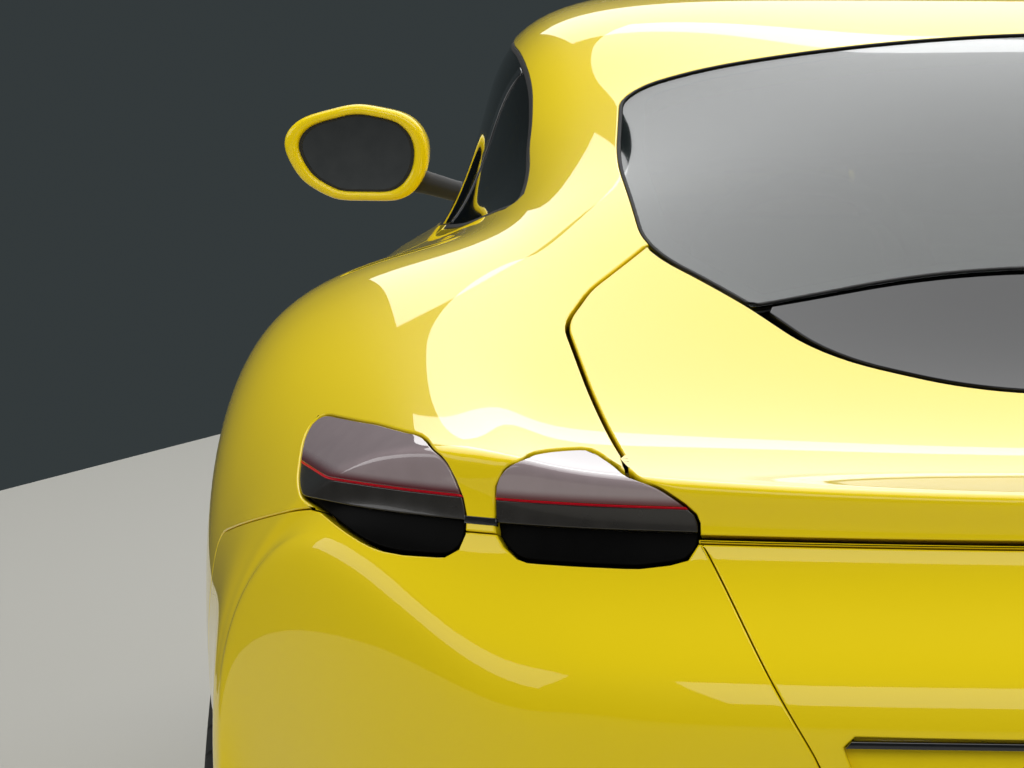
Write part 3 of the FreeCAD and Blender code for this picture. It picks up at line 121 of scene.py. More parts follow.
# Body sides: rear quarter, sill, roof rail and pillar in one pressing, painted yellow.
# Every panel is a piece of one smooth skin through the cross sections below (millimetres, nose to
# tail), cut to its outline, with its edges rolled over and its back closed at the wall's depth.
SECTIONS = [
    # x at the middle, sweep at the widest, middle z,
    # then y and z of rail, belt, crest, widest, low line and sill
    (2230, -400, 150, 420, 150, 600, 152, 740, 156, 850, 165, 872, 170, 880, 172),
    (2300, -455, 230, 430, 232, 620, 238, 770, 250, 885, 275, 915, 235, 905, 180),
    (2330, -540, 420, 440, 422, 630, 430, 780, 445, 915, 465, 935, 320, 920, 182),
    (2325, -620, 560, 440, 566, 630, 580, 785, 592, 930, 560, 950, 370, 925, 184),
    (2255, -680, 665, 445, 676, 635, 690, 795, 684, 945, 610, 962, 400, 928, 186),
    (2080, -620, 742, 460, 756, 645, 764, 820, 756, 958, 655, 968, 415, 930, 188),
    (1800, -440, 812, 500, 826, 670, 836, 840, 836, 968, 695, 970, 425, 928, 190),
    (1480, -220, 872, 560, 884, 710, 894, 862, 890, 978, 730, 968, 430, 924, 190),
    (1150, -150, 922, 630, 926, 755, 918, 870, 896, 974, 735, 958, 430, 920, 190),
    (900, -240, 950, 700, 945, 800, 926, 880, 888, 962, 725, 948, 430, 916, 190),
    (745, -330, 968, 745, 955, 820, 936, 888, 896, 954, 715, 940, 430, 912, 190),
    (520, -300, 1080, 742, 1022, 836, 944, 896, 906, 950, 712, 938, 430, 910, 190),
    (290, -240, 1190, 712, 1122, 842, 948, 904, 917, 950, 712, 938, 430, 910, 190),
    (80, -180, 1268, 696, 1206, 842, 952, 909, 925, 952, 715, 940, 430, 910, 190),
    (-110, -120, 1293, 700, 1252, 838, 960, 912, 930, 954, 718, 942, 432, 910, 190),
    (-360, -60, 1301, 692, 1264, 826, 974, 913, 935, 960, 724, 948, 436, 910, 190),
    (-620, 0, 1292, 664, 1250, 800, 990, 916, 946, 975, 738, 958, 442, 912, 192),
    (-860, 0, 1266, 610, 1190, 769, 1012, 921, 950, 980, 752, 966, 448, 914, 195),
    (-1100, 0, 1214, 572, 1142, 746, 1034, 923, 971, 985, 762, 970, 454, 915, 200),
    (-1320, 0, 1148, 540, 1106, 736, 1050, 925, 981, 988, 785, 972, 458, 914, 208),
    (-1540, 0, 1070, 540, 1052, 728, 1028, 898, 967, 976, 780, 957, 458, 910, 218),
    (-1780, 60, 980, 540, 994, 705, 990, 852, 940, 945, 745, 928, 456, 896, 232),
    (-2010, 180, 923, 525, 943, 685, 957, 815, 912, 928, 730, 916, 452, 882, 245),
    (-2188, 335, 911, 480, 921, 650, 935, 790, 905, 922, 716, 918, 450, 884, 258),
    (-2230, 365, 905, 470, 914, 645, 928, 785, 895, 920, 708, 914, 448, 880, 264),
    (-2226, 352, 862, 470, 866, 645, 872, 790, 872, 918, 700, 910, 446, 877, 268),
    (-2262, 382, 806, 470, 806, 645, 810, 800, 850, 916, 692, 908, 444, 874, 272),
    (-2326, 438, 738, 460, 737, 640, 742, 806, 826, 912, 680, 902, 440, 868, 277),
    (-2328, 430, 650, 440, 650, 620, 655, 780, 690, 900, 600, 894, 430, 862, 283),
    (-2312, 402, 500, 420, 500, 610, 500, 762, 505, 866, 480, 880, 400, 857, 289),
    (-2272, 322, 345, 420, 345, 600, 345, 740, 345, 822, 342, 850, 322, 853, 293),
    (-2200, 250, 288, 416, 288, 592, 288, 720, 288, 796, 288, 828, 288, 848, 290),
]
MM = 0.001
SKIN_STRETCH = np.array((4656.0 / 4667.26, 1974.0 / 1980.31, 1301.0 / 1301.455)) * MM
SKIN_SHIFT = np.array((-0.735, 0.0, 0.0))


def skin_net():
    """Control points of the skin, right sill to left sill, pushed out so that it meets the sections."""
    rows = []
    for x, sweep, top, *yz in SECTIONS:
        rail_y, rail_z, belt_y, belt_z = yz[:4]
        crown = 5.0 if rail_z - belt_z > 60.0 else 0.0
        half = [(0.0, top), (0.52 * rail_y, top - 0.24 * (top - rail_z)), (rail_y, rail_z),
                (0.5 * (rail_y + belt_y) + crown, 0.5 * (rail_z + belt_z) + crown), (belt_y, belt_z)]
        half += [(yz[i], yz[i + 1]) for i in range(4, 12, 2)]
        power = 2.2 if x > 0 else 4.0
        left = np.array([(x + sweep * min(1.0, y / yz[6]) ** power, y, z) for y, z in half])
        left = (left + SKIN_SHIFT) * SKIN_STRETCH
        left = np.vstack((left, 2 * left[-1] - left[-2]))
        rows.append(np.vstack((left[:0:-1] * (1, -1, 1), left)))
    net = np.array(rows)
    net = np.concatenate((2 * net[:1] - net[1:2], net, 2 * net[-1:] - net[-2:-1]))
    return 2 * net - averaged(net, 2 / 3, 1 / 6)


def averaged(net, middle, side):
    padded = np.concatenate((net[:1], net, net[-1:]))
    net = side * padded[:-2] + middle * net + side * padded[2:]
    padded = np.concatenate((net[:, :1], net, net[:, -1:]), axis=1)
    return side * padded[:, :-2] + middle * net + side * padded[:, 2:]


def inward_net(net, depth):
    """The control points moved in by a wall's depth, along directions that change slowly."""
    along = np.concatenate((net[1:2] - net[:1], net[2:] - net[:-2], net[-1:] - net[-2:-1]))
    across = np.concatenate((net[:, 1:2] - net[:, :1], net[:, 2:] - net[:, :-2], net[:, -1:] - net[:, -2:-1]),
                            axis=1)
    facing = np.cross(across, along)
    facing /= np.linalg.norm(facing, axis=2, keepdims=True)
    for _ in range(2):
        facing = averaged(facing, 0.5, 0.25)
        facing /= np.linalg.norm(facing, axis=2, keepdims=True)
    return net - facing * depth


SKIN = skin_net()
SILL_COLUMN = 8


def cubic_weights(t):
    cell = np.floor(t).astype(int)
    f = t - cell
    return cell, np.stack(((1 - f) ** 3, 3 * f ** 3 - 6 * f ** 2 + 4,
                           -3 * f ** 3 + 3 * f ** 2 + 3 * f + 1, f ** 3), -1) / 6


def on_skin(uv, net=SKIN):
    """Points of the skin; u counts cross sections from the nose, v columns from the middle."""
    u = np.clip(uv[:, 0], 0, len(SECTIONS) - 1 - 1e-9)
    v = np.clip(uv[:, 1] + SILL_COLUMN, 0, 2 * SILL_COLUMN - 1e-9)
    row, row_weights = cubic_weights(u)
    column, column_weights = cubic_weights(v)
    points = np.zeros((len(uv), 3))
    for i in range(4):
        for j in range(4):
            points += (row_weights[:, i] * column_weights[:, j])[:, None] * net[row + i, column + j]
    return points


def facing_out(uv, net=SKIN):
    """Unit normals of the skin, pointing out of the car."""
    e = 1e-3
    along = on_skin(uv + (e, 0), net) - on_skin(uv - (e, 0), net)
    across = on_skin(uv + (0, e), net) - on_skin(uv - (0, e), net)
    facing = np.cross(across, along)
    return facing / np.linalg.norm(facing, axis=1, keepdims=True)


def both_sides(half):
    return half + [(a, -b, *r) for a, b, *r in reversed(half[1:-1])]


def outline(corners, plane):
    """A closed line of short runs, in metres, through rounded corners (a, b, radius)."""
    stretch = {"side": SKIN_STRETCH[[0, 2]], "plan": SKIN_STRETCH[[0, 1]], "rear": SKIN_STRETCH[[1, 2]],
               "plain": np.array((MM, MM))}[plane]
    shift = np.array((SKIN_SHIFT[0], 0.0)) if plane in ("side", "plan") else np.zeros(2)
    points = [(np.array(c[:2], float) + shift) * stretch for c in corners]
    line = []
    for i, corner in enumerate(points):
        radius = corners[i][2] * MM if len(corners[i]) > 2 else 0.0
        before = points[i - 1] - corner
        after = points[(i + 1) % len(points)] - corner
        before_length, after_length = np.hypot(*before), np.hypot(*after)
        before, after = before / before_length, after / after_length
        turn = math.acos(max(-1.0, min(1.0, float(before @ after))))
        if radius == 0.0 or turn > math.pi - 1e-4:
            line.append(corner)
            continue
        reach = min(radius / math.tan(turn / 2), 0.49 * before_length, 0.49 * after_length)
        first, last = corner + before * reach, corner + after * reach
        middle = (before + after) / np.linalg.norm(before + after)
        centre = corner + middle * (reach / math.cos(turn / 2))
        start = math.atan2(*(first - centre)[::-1])
        sweep = (math.atan2(*(last - centre)[::-1]) - start + math.pi) % (2 * math.pi) - math.pi
        size = np.linalg.norm(first - centre)
        count = max(2, int(abs(sweep) * size / 0.008) + 3)
        line += [centre + size * np.array((math.cos(start + sweep * k / count),
                                           math.sin(start + sweep * k / count))) for k in range(count + 1)]
    return np.array(line)


def depth_inside(points, line):
    """Distance of flat points from a closed line, positive inside it."""
    near = np.full(len(points), 1e9)
    crossings = np.zeros(len(points), int)
    for a, b in zip(line, np.roll(line, -1, axis=0)):
        run = b - a
        along = np.clip(((points - a) @ run) / max(run @ run, 1e-18), 0, 1)
        near = np.minimum(near, np.hypot(*(points - a - along[:, None] * run).T))
        if a[1] != b[1]:
            spans = (a[1] > points[:, 1]) != (b[1] > points[:, 1])
            x = a[0] + (points[:, 1] - a[1]) * run[0] / run[1]
            crossings += spans & (points[:, 0] < x)
    return np.where(crossings % 2 == 1, near, -near)


PLANE_AXES = {"side": [0, 2], "plan": [0, 1], "rear": [1, 2]}


def cut(distance, corners=None, plane=None):
    """A cut: signed distance to keep, with the sharp corners that mesh points are pulled onto."""
    return distance, corners, PLANE_AXES.get(plane)


def sharp_corners(corners, plane, offset=0.0):
    """Corner points with hardly any rounding, moved out by an offset along their bisector."""
    line = outline([c[:2] for c in corners], plane)
    area = 0.5 * np.sum(line[:, 0] * np.roll(line[:, 1], -1) - np.roll(line[:, 0], -1) * line[:, 1])
    found = []
    for i, corner in enumerate(line):
        if len(corners[i]) > 2 and corners[i][2] > 9:
            continue
        before, after = corner - line[i - 1], line[(i + 1) % len(line)] - corner
        before, after = before / np.hypot(*before), after / np.hypot(*after)
        out = np.array((before[1] + after[1], -before[0] - after[0])) * np.sign(area)
        found.append(corner + out * offset / max(0.3, 0.5 * (out @ out)))
    return np.array(found)


def inside(corners, plane, shrink=0.0):
    """A cut that keeps what lies inside an outline, shrunk by so many metres."""
    line = outline(corners, plane)
    return cut(lambda points: depth_inside(points[:, PLANE_AXES[plane]], line) - shrink,
               sharp_corners(corners, plane, -shrink), plane)


def outside(corners, plane, grow=0.0, above=None, behind=None):
    """A cut that removes what lies inside an outline grown by so many metres."""
    line = outline(corners, plane)

    def kept(points):
        value = -depth_inside(points[:, PLANE_AXES[plane]], line) - grow
        if above is not None:
            value = np.maximum(value, above - points[:, 2])
        if behind is not None:
            value = np.maximum(value, points[:, 0] - behind)
        return value
    return cut(kept, sharp_corners(corners, plane, grow), plane)


def limit(axis, value, sign):
    """A cut at a flat plane: keeps the side of the axis that the sign names."""
    return cut(lambda points: sign * (points[:, axis] - value))


def outside_wheel(x, z, radius):
    return cut(lambda points: np.hypot(points[:, 0] - x, points[:, 2] - z) - radius)


BEND_LENGTH = 0.05


def even_values(low, high, step, lines, along_rows):
    """Row or column numbers about a step apart on the skin, and closer where it bends sharply."""
    fine = np.linspace(low, high, 401)
    length = np.zeros(400)
    for other in np.linspace(*lines, 9):
        uv = np.column_stack((fine, np.full(401, other)) if along_rows else (np.full(401, other), fine))
        facing = facing_out(np.clip(uv, (0.01, -7.99), (len(SECTIONS) - 1.01, 7.99)))
        turn = np.linalg.norm(np.diff(facing, axis=0), axis=1)
        length += (np.linalg.norm(np.diff(on_skin(uv), axis=0), axis=1) + BEND_LENGTH * turn) / 9
    total = np.concatenate(([0], np.cumsum(length + 0.1 * length.mean())))
    count = max(2, int(round(length.sum() / step)))
    count += count % 2
    return np.interp(np.linspace(0, total[-1], count + 1), total, fine)


def panel(rows, columns, cuts, step=0.014, sunk=0.0):
    """A stretch of skin as polygons cut along outlines: (row, column) pairs and faces."""
    us = even_values(*rows, step, columns, True)
    vs = even_values(*columns, step, rows, False)
    uv = np.stack(np.meshgrid(us, vs, indexing="ij"), -1).reshape(-1, 2)
    i, j = np.meshgrid(np.arange(len(us) - 1), np.arange(len(vs) - 1), indexing="ij")
    corner = (i * len(vs) + j).ravel()
    quads = np.stack((corner, corner + 1, corner + len(vs) + 1, corner + len(vs)), 1)
    cell = np.array(((rows[1] - rows[0]) / len(us), (columns[1] - columns[0]) / len(vs)))
    fixed = np.zeros(len(uv), bool)
    polygons = []

    def surface(pairs):
        points = on_skin(pairs)
        return points - facing_out(pairs) * sunk if sunk else points

    for distance, corners, axes in cuts:
        points = surface(uv)
        if corners is not None:
            for corner in corners:
                miss = np.where(fixed, 9.0, np.hypot(*(points[:, axes] - corner).T))
                k = int(np.argmin(miss))
                if miss[k] > 0.9 * step:
                    continue
                place = uv[k:k + 1].copy()
                for _ in range(6):
                    here = surface(place)[0, axes]
                    slope = np.stack([(surface(place + cell * e)[0, axes] - here) / 0.01
                                      for e in ((0.01, 0), (0, 0.01))], 1)
                    if abs(np.linalg.det(slope)) < 1e-9:
                        break
                    place = place + cell * np.linalg.solve(slope, corner - here)
                if np.all(np.abs(place[0] - uv[k]) < 1.5 * cell):
                    uv[k], fixed[k] = place[0], True
                    points[k] = surface(place)[0]
        value = distance(points)
        value[np.abs(value) < 1e-6] = 0.0
        near = np.flatnonzero((np.abs(value) < 0.3 * step) & ~fixed & (value != 0))
        for _ in range(3):
            here = distance(surface(uv[near]))
            slope = np.stack([(distance(surface(uv[near] + cell * e)) - here) / 0.02
                              for e in ((0.02, 0), (0, 0.02))], 1)
            size = np.maximum((slope ** 2).sum(1), 1e-8)
            move = -slope * (here / size)[:, None]
            uv[near] += cell * np.clip(move, -0.35, 0.35)
        settled = near[np.abs(distance(surface(uv[near]))) < 2e-4] if len(near) else near
        value[settled] = 0.0
        unsettled = np.setdiff1d(near, settled)
        value[unsettled] = distance(surface(uv[unsettled])) if len(unsettled) else 0.0
        fixed |= np.abs(value) < 2e-4
        value[np.abs(value) < 2e-4] = 0.0
        low, high = value[quads].min(1), value[quads].max(1)
        candidates = polygons + quads[(low < 0) & (high > 0)].tolist()
        quads = quads[(low >= 0) & (high > 0)]
        edges = sorted({(min(a, b), max(a, b)) for face in candidates
                        for a, b in zip(face, face[1:] + face[:1]) if value[a] * value[b] < 0})
        made = {edge: len(uv) + n for n, edge in enumerate(edges)}
        polygons = []
        for face in candidates:
            if max(value[k] for k in face) <= 0:
                continue
            kept = []
            for a, b in zip(face, face[1:] + face[:1]):
                if value[a] >= 0:
                    kept.append(a)
                if value[a] * value[b] < 0:
                    kept.append(made[min(a, b), max(a, b)])
            if len(kept) > 2:
                polygons.append(kept)
        if edges:
            first, second = np.array(edges).T
            low = uv[np.where(value[first] < 0, first, second)]
            high = uv[np.where(value[first] < 0, second, first)]
            for _ in range(13):
                middle = 0.5 * (low + high)
                missed = (distance(surface(middle)) < 0)[:, None]
                low, high = np.where(missed, middle, low), np.where(missed, high, middle)
            uv = np.vstack((uv, high))
            fixed = np.concatenate((fixed, np.ones(len(edges), bool)))
    faces = quads.tolist() + polygons
    used = sorted({k for face in faces for k in face})
    number = {k: n for n, k in enumerate(used)}
    return uv[used], [[number[k] for k in face] for face in faces]


def boundary_next(faces):
    """For every open edge of the faces, the vertex that follows each boundary vertex."""
    edges = {(a, b) for face in faces for a, b in zip(face, face[1:] + face[:1])}
    return [(a, b) for a, b in edges if (b, a) not in edges]


def pressing(rows, columns, cuts, depth, step=0.014, sunk=0.0, roll=0.002, back=None):
    """A closed wall under a stretch of skin: its edge rolled over, its back at the wall's depth.

    Returns points, faces, the part of each face (0 skin, 1 edge, 2 back) and point normals.
    """
    uv, faces = panel(rows, columns, cuts, step, sunk)
    normals = facing_out(uv)
    top = on_skin(uv) - normals * sunk
    under = on_skin(uv, inward_net(SKIN, depth)) - normals * sunk if back is None else top - normals * depth
    open_edges = boundary_next(faces)
    edge_points = sorted({k for pair in open_edges for k in pair})
    order = {k: n for n, k in enumerate(edge_points)}
    out = np.zeros((len(edge_points), 3))
    for a, b in open_edges:
        run = top[b] - top[a]
        across = np.cross(run, normals[a] + normals[b])
        across /= max(np.linalg.norm(across), 1e-12)
        out[order[a]] += across
        out[order[b]] += across
    rim_normals = normals[edge_points]
    out -= (out * rim_normals).sum(1)[:, None] * rim_normals
    length = np.linalg.norm(out, axis=1, keepdims=True)
    out /= np.maximum(length, 1e-9)
    corner_reach = np.clip(2 / np.maximum(length, 0.6), 1, 1.6)
    start = top[edge_points].copy()
    top[edge_points] = start - out * roll * corner_reach
    points = [top]
    point_normals = [normals]
    base = len(top)
    count = len(edge_points)
    rings = [np.array([k for k in edge_points])]
    for angle in (0.5236, 1.0472, 1.5708):
        points.append(start - out * corner_reach * roll * (1 - math.sin(angle))
                      - rim_normals * roll * (1 - math.cos(angle)))
        point_normals.append(math.sin(angle) * out + math.cos(angle) * rim_normals)
        rings.append(np.arange(base, base + count))
        base += count
    under_base = base
    points.append(under)
    point_normals.append(-normals)
    rings.append(np.array(edge_points) + under_base)
    part = [0] * len(faces)
    all_faces = list(faces)
    for upper, lower in zip(rings[:-1], rings[1:]):
        for a, b in open_edges:
            m, n = order[a], order[b]
            all_faces.append([int(upper[n]), int(upper[m]), int(lower[m]), int(lower[n])])
            part.append(1)
    all_faces += [[k + under_base for k in reversed(face)] for face in faces]
    part += [2] * len(faces)
    return np.vstack(points), all_faces, part, np.vstack(point_normals)


def add_piece(name, points, faces, materials, part=None, mirror=False, normals=None):
    """A mesh object from points in metres, smooth, with a material for each part number."""
    points = np.asarray(points, float)
    if mirror:
        points = points * (1, -1, 1)
        faces = [face[::-1] for face in faces]
    mesh = bpy.data.meshes.new(name)
    mesh.from_pydata(points.tolist(), [], faces)
    for material in materials:
        mesh.materials.append(material)
    if part is not None:
        mesh.polygons.foreach_set("material_index", np.array(part, np.int32))
    mesh.polygons.foreach_set("use_smooth", np.ones(len(mesh.polygons), bool))
    mesh.update()
    if normals is not None:
        mesh.normals_split_custom_set_from_vertices((normals * ((1, -1, 1) if mirror else 1)).tolist())
    piece = bpy.data.objects.new(name, mesh)
    bpy.context.scene.collection.objects.link(piece)
    return piece


def add_pressing(name, shell, materials, body, slot, *replaced, mirror=False):
    """A pressing as a piece that rides on a body and stands for the solids it replaces."""
    points, faces, part, normals = shell
    piece = add_piece(name, points, faces, materials, part, mirror, normals)
    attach(piece, body)
    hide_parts(*replaced)
    return piece


def noise_height(nodes, links, scale, detail=2.0):
    """A noise texture in object coordinates."""
    place = nodes.new("ShaderNodeTexCoord")
    noise = nodes.new("ShaderNodeTexNoise")
    noise.inputs["Scale"].default_value = scale
    noise.inputs["Detail"].default_value = detail
    links.new(place.outputs["Object"], noise.inputs["Vector"])
    return noise.outputs["Fac"]


def surface_material(name, dark, light, roughness, metallic=0.0, coat=0.0, scale=40.0, bump=0.0,
                     bump_scale=400.0):
    """A material whose colour and roughness drift between two values, with an optional fine grain."""
    material = bpy.data.materials.new(name)
    material.use_nodes = True
    nodes, links = material.node_tree.nodes, material.node_tree.links
    shader = nodes["Principled BSDF"]
    drift = noise_height(nodes, links, scale)
    mix = nodes.new("ShaderNodeMix")
    mix.data_type = "RGBA"
    mix.inputs[6].default_value = (*dark, 1)
    mix.inputs[7].default_value = (*light, 1)
    links.new(drift, mix.inputs[0])
    links.new(mix.outputs[2], shader.inputs["Base Color"])
    spread = nodes.new("ShaderNodeMapRange")
    spread.inputs["To Min"].default_value = roughness[0]
    spread.inputs["To Max"].default_value = roughness[1]
    links.new(drift, spread.inputs["Value"])
    links.new(spread.outputs["Result"], shader.inputs["Roughness"])
    shader.inputs["Metallic"].default_value = metallic
    shader.inputs["Coat Weight"].default_value = coat
    shader.inputs["Coat Roughness"].default_value = 0.02
    if bump:
        grain = nodes.new("ShaderNodeBump")
        grain.inputs["Strength"].default_value = bump
        grain.inputs["Distance"].default_value = 0.0004
        links.new(noise_height(nodes, links, bump_scale, 4.0), grain.inputs["Height"])
        links.new(grain.outputs["Normal"], shader.inputs["Normal"])
    return material


def with_inputs(material, **values):
    """Sets plain numbers on a material's Principled shader."""
    for name, value in values.items():
        material.node_tree.nodes["Principled BSDF"].inputs[name.replace("_", " ")].default_value = value
    return material


paint = surface_material("yellow_paint", (0.90, 0.675, 0.002), (0.94, 0.71, 0.003), (0.36, 0.44), coat=1.0,
                         scale=3.0, bump=0.02, bump_scale=900.0)
with_inputs(paint, Specular_IOR_Level=0.08)
# Inner faces: the same yellow paint as outside, made darker as painted shade inside and under the panels.
body_inside = surface_material("body_inside", (0.42, 0.31, 0.01), (0.5, 0.37, 0.012), (0.45, 0.6))
black_trim = surface_material("black_trim", (0.010, 0.010, 0.011), (0.016, 0.016, 0.017), (0.45, 0.6),
                              bump=0.25, bump_scale=700.0)
black_gloss = surface_material("black_gloss", (0.006, 0.006, 0.007), (0.009, 0.009, 0.010), (0.12, 0.2),
                               coat=1.0)
painted = [paint, paint, body_inside]
painted_plastic = [paint, paint, black_trim]

BONNET = both_sides([(2215, 0, 2500), (2135, 430, 200), (1700, 640, 900), (508, 774, 8),
                     (690, 430, 700), (765, 0, 900)])
SCREEN = both_sides([(700, 0, 900), (640, 410, 700), (478, 738, 70), (2, 604, 90), (62, 330, 900),
                     (80, 0, 2500)])
REAR_GLASS = both_sides([(-846, 0, 2500), (-872, 470, 900), (-895, 562, 75), (-1150, 552, 1500),
                         (-1490, 502, 300), (-1652, 380, 4), (-1572, 190, 900), (-1560, 0, 900)])
FLAP = both_sides([(-1571, 0, 900), (-1583, 190, 900), (-1655, 368, 3), (-1768, 293, 350),
                   (-1838, 140, 400), (-1842, 0, 900)])
GLASS_AND_FLAP = both_sides([(-846, 0, 2500), (-872, 470, 900), (-895, 562, 75), (-1150, 552, 1500),
                             (-1490, 502, 300), (-1652, 380, 600), (-1768, 301, 400),
                             (-1845, 140, 400), (-1849, 0, 900)])
LID = both_sides([(-1400, 0), (-1400, 420), (-1484, 500, 4), (-1600, 552, 200), (-1700, 572, 160),
                  (-1880, 536, 900), (-2104, 488, 60), (-2190, 478), (-2330, 470), (-2330, 0)])
LID_FOOT = 0.866
DOOR = [(590, 932, 6), (436, 946, 300), (-250, 975, 2500), (-634, 1013, 6), (-738, 800, 500),
        (-650, 330, 110), (-560, 300, 60), (500, 300, 80), (560, 330, 80), (648, 620, 600)]
SIDE_GLASS = [(436, 946, 10), (-250, 968, 2500), (-900, 1035, 2500), (-1160, 1086, 14),
              (-1085, 1099, 20), (-911, 1131, 600), (-640, 1221, 1200), (-200, 1226, 600), (60, 1153, 600)]
FRONT_SEAM = [(2200, 1100), (2200, 775), (1850, 640), (1640, 525)]
REAR_SEAM = [(-2008, 858), (-1700, 785, 60), (-1640, 600)]
OUTER_LAMP = [(833, 930, 30), (745, 939, 200), (668, 940, 50), (641, 880, 60), (644, 834, 24),
              (730, 832, 140), (828, 870, 24)]
INNER_LAMP = [(612, 932, 36), (525, 931, 60), (455, 913, 90), (412, 884, 22), (413, 843, 22), (470, 835, 60),
              (590, 835, 36), (611, 858, 30)]
HEADLAMP = [(548, 652, 16), (865, 690, 25), (880, 742, 20), (720, 730, 200), (552, 690, 14)]
ARCH_REAR = (-1.342, 0.354, 0.386)
ARCH_FRONT = (1.328, 0.340, 0.380)
GAP = 0.0045
SEAM = 0.0012
GLASS_FROM_Z = 0.85
BONNET_FROM_Z = 0.60
LAMPS_BEHIND_X = -1.7
TAIL_BEHIND_X = -1.9


def other_side(corners):
    """An outline of the left side as seen from behind, turned over to the right side."""
    return [(-y, z, *r) for y, z, *r in corners]


rear_lamps = (OUTER_LAMP, INNER_LAMP, other_side(OUTER_LAMP), other_side(INNER_LAMP))
rear_lamp_cuts = [outside(corners, "rear", SEAM, behind=LAMPS_BEHIND_X) for corners in rear_lamps]
side_area = [(597, 100), (597, 1400), (-2500, 1400), (-2500, 860)] + REAR_SEAM + [(-1640, 100)]
body_cuts = [
    inside(side_area, "side"),
    outside(SCREEN, "plan", above=GLASS_FROM_Z),
    outside(GLASS_AND_FLAP, "plan", above=GLASS_FROM_Z),
    outside(BONNET, "plan", GAP, above=BONNET_FROM_Z),
    outside(LID, "plan", GAP, above=LID_FOOT - GAP),
    outside(DOOR, "side", GAP),
    outside(SIDE_GLASS, "side", 0.0005),
    outside_wheel(*ARCH_REAR),
] + rear_lamp_cuts
body_shell = pressing((8.7, 26.0), (-8.0, 8.0), body_cuts, 0.040, step=0.017)
add_pressing("upper_body_panel", body_shell, painted, "body", "paint",
             "body_side_left", "body_side_right", "roof")

# Front wings: one pressing each side between bumper, bonnet and door, over the front wheel, painted.
# They are bolted on, so a seam shows at the door post and at the bumper.
wing_area = [(597.3, 100), (597.3, 1100)] + FRONT_SEAM + [(1640, 100)]
wing_cuts = [
    inside(wing_area, "side", SEAM),
    outside(BONNET, "plan", GAP, above=BONNET_FROM_Z),
    outside(DOOR, "side", GAP),
    outside(SCREEN, "plan", SEAM, above=GLASS_FROM_Z),
    outside(HEADLAMP, "rear", SEAM),
    outside_wheel(*ARCH_FRONT),
]
wing_shell = pressing((2.9, 10.6), (0.8, 8.0), wing_cuts, 0.024)
SIDES = (("left", 1), ("right", -1))


def add_pair(name, shell, materials, body, slot, replaced):
    """A pressing on the left and its mirror image on the right; a name that ends in _ gets the side."""
    for side, turn in SIDES:
        body_here, node = (word + side if word.endswith("_") else word for word in (body, replaced))
        add_pressing(name + "_" + side, shell, materials, body_here, slot, node, mirror=turn < 0)


add_pair("front_wing", wing_shell, painted, "body", "paint", "front_wings")

# Doors: a painted outer skin with its edge folded over an inner panel, hinged at the front.
# The inner panel carries the trim card, and the window drops into it.
door_skin = pressing((8.7, 18.0), (3.0, 7.9), [inside(DOOR, "side")], 0.014)
door_lining = pressing((8.7, 18.0), (3.0, 7.9), [inside(DOOR, "side", 0.014)], 0.062, sunk=0.0075,
                       roll=0.008)
add_pair("door_skin", door_skin, painted_plastic, "door_", "paint", "door_")
add_pair("door_lining", door_lining, [body_inside, black_trim, black_trim], "door_", "paint", "door_")

# Bonnet: one painted metal pressing with a folded edge, over the engine bay.
# It is hinged at its rear corners.
bonnet_cuts = [inside(BONNET, "plan"), limit(2, 0.4, 1)]
bonnet_shell = pressing((3.4, 12.0), (-5.0, 5.0), bonnet_cuts, 0.022, step=0.017)
add_pressing("bonnet_panel", bonnet_shell, painted, "bonnet", "paint", "bonnet")

# Boot lid: the painted panel behind the rear glass, whose rear edge folds down over the tail.
# It turns on two swan necks that go in under the rear glass.
lid_cuts = [inside(LID, "plan"), limit(2, LID_FOOT, 1), outside(GLASS_AND_FLAP, "plan", GAP, above=0.5)]
LID_TO_LAMP = 0.0025
lid_cuts += [outside(corners, "rear", LID_TO_LAMP, behind=LAMPS_BEHIND_X)
             for corners in (INNER_LAMP, other_side(INNER_LAMP))]
lid_shell = pressing((18.6, 25.6), (-3.6, 3.6), lid_cuts, 0.022)
add_pressing("boot_lid_panel", lid_shell, painted, "boot_lid", "paint", "boot_lid")

# Spoiler flap: a flat gloss black blade let into the boot lid behind the rear glass.
# It is moulded, and turns on two pins of the lid.
flap_black = surface_material("flap_black", (0.006, 0.006, 0.007), (0.009, 0.009, 0.010), (0.10, 0.16))
with_inputs(flap_black, Specular_IOR_Level=0.30)
flap_cuts = [inside(FLAP, "plan"), limit(2, GLASS_FROM_Z, 1)]
flap_shell = pressing((19.0, 22.6), (-2.6, 2.6), flap_cuts, 0.012, sunk=0.001)
add_pressing("spoiler_flap_panel", flap_shell, [flap_black] * 3, "spoiler_flap", "black_gloss",
             "spoiler_flap")

# Rear bumper: a moulded, painted skin across the tail, clipped to the body at its upper edge.
# It has windows for the lamps, the tailpipes and the middle of the tail.
exhaust_window = [(418, 260, 50), (650, 260, 50), (650, 376, 50), (418, 376, 50)]
CENTRE_PANEL = [(408, 1000), (408, 858), (292, 665, 200), (232, 500, 200), (226, 250)]
PLATE_POCKET = [(275, 694, 10), (215, 545, 20), (-215, 545, 20), (-275, 694, 10)]
bumper_area = [(-2600, 60), (-2600, 860)] + REAR_SEAM + [(-1640, 60)]
rear_bumper_cuts = [
    inside(bumper_area, "side", SEAM),
    outside([(-2500, -415), (-1900, -415), (-1900, 415), (-2500, 415)], "plan", 0.0, above=LID_FOOT - GAP),
    outside_wheel(*ARCH_REAR),
    outside(exhaust_window, "rear", 0.0, behind=TAIL_BEHIND_X),
    outside(other_side(exhaust_window), "rear", 0.0, behind=TAIL_BEHIND_X),
    outside([(-400, 0), (400, 0), (400, 372), (-400, 372)], "rear", 0.0, behind=TAIL_BEHIND_X),
] + rear_lamp_cuts
whole_centre = CENTRE_PANEL + other_side(CENTRE_PANEL[::-1])
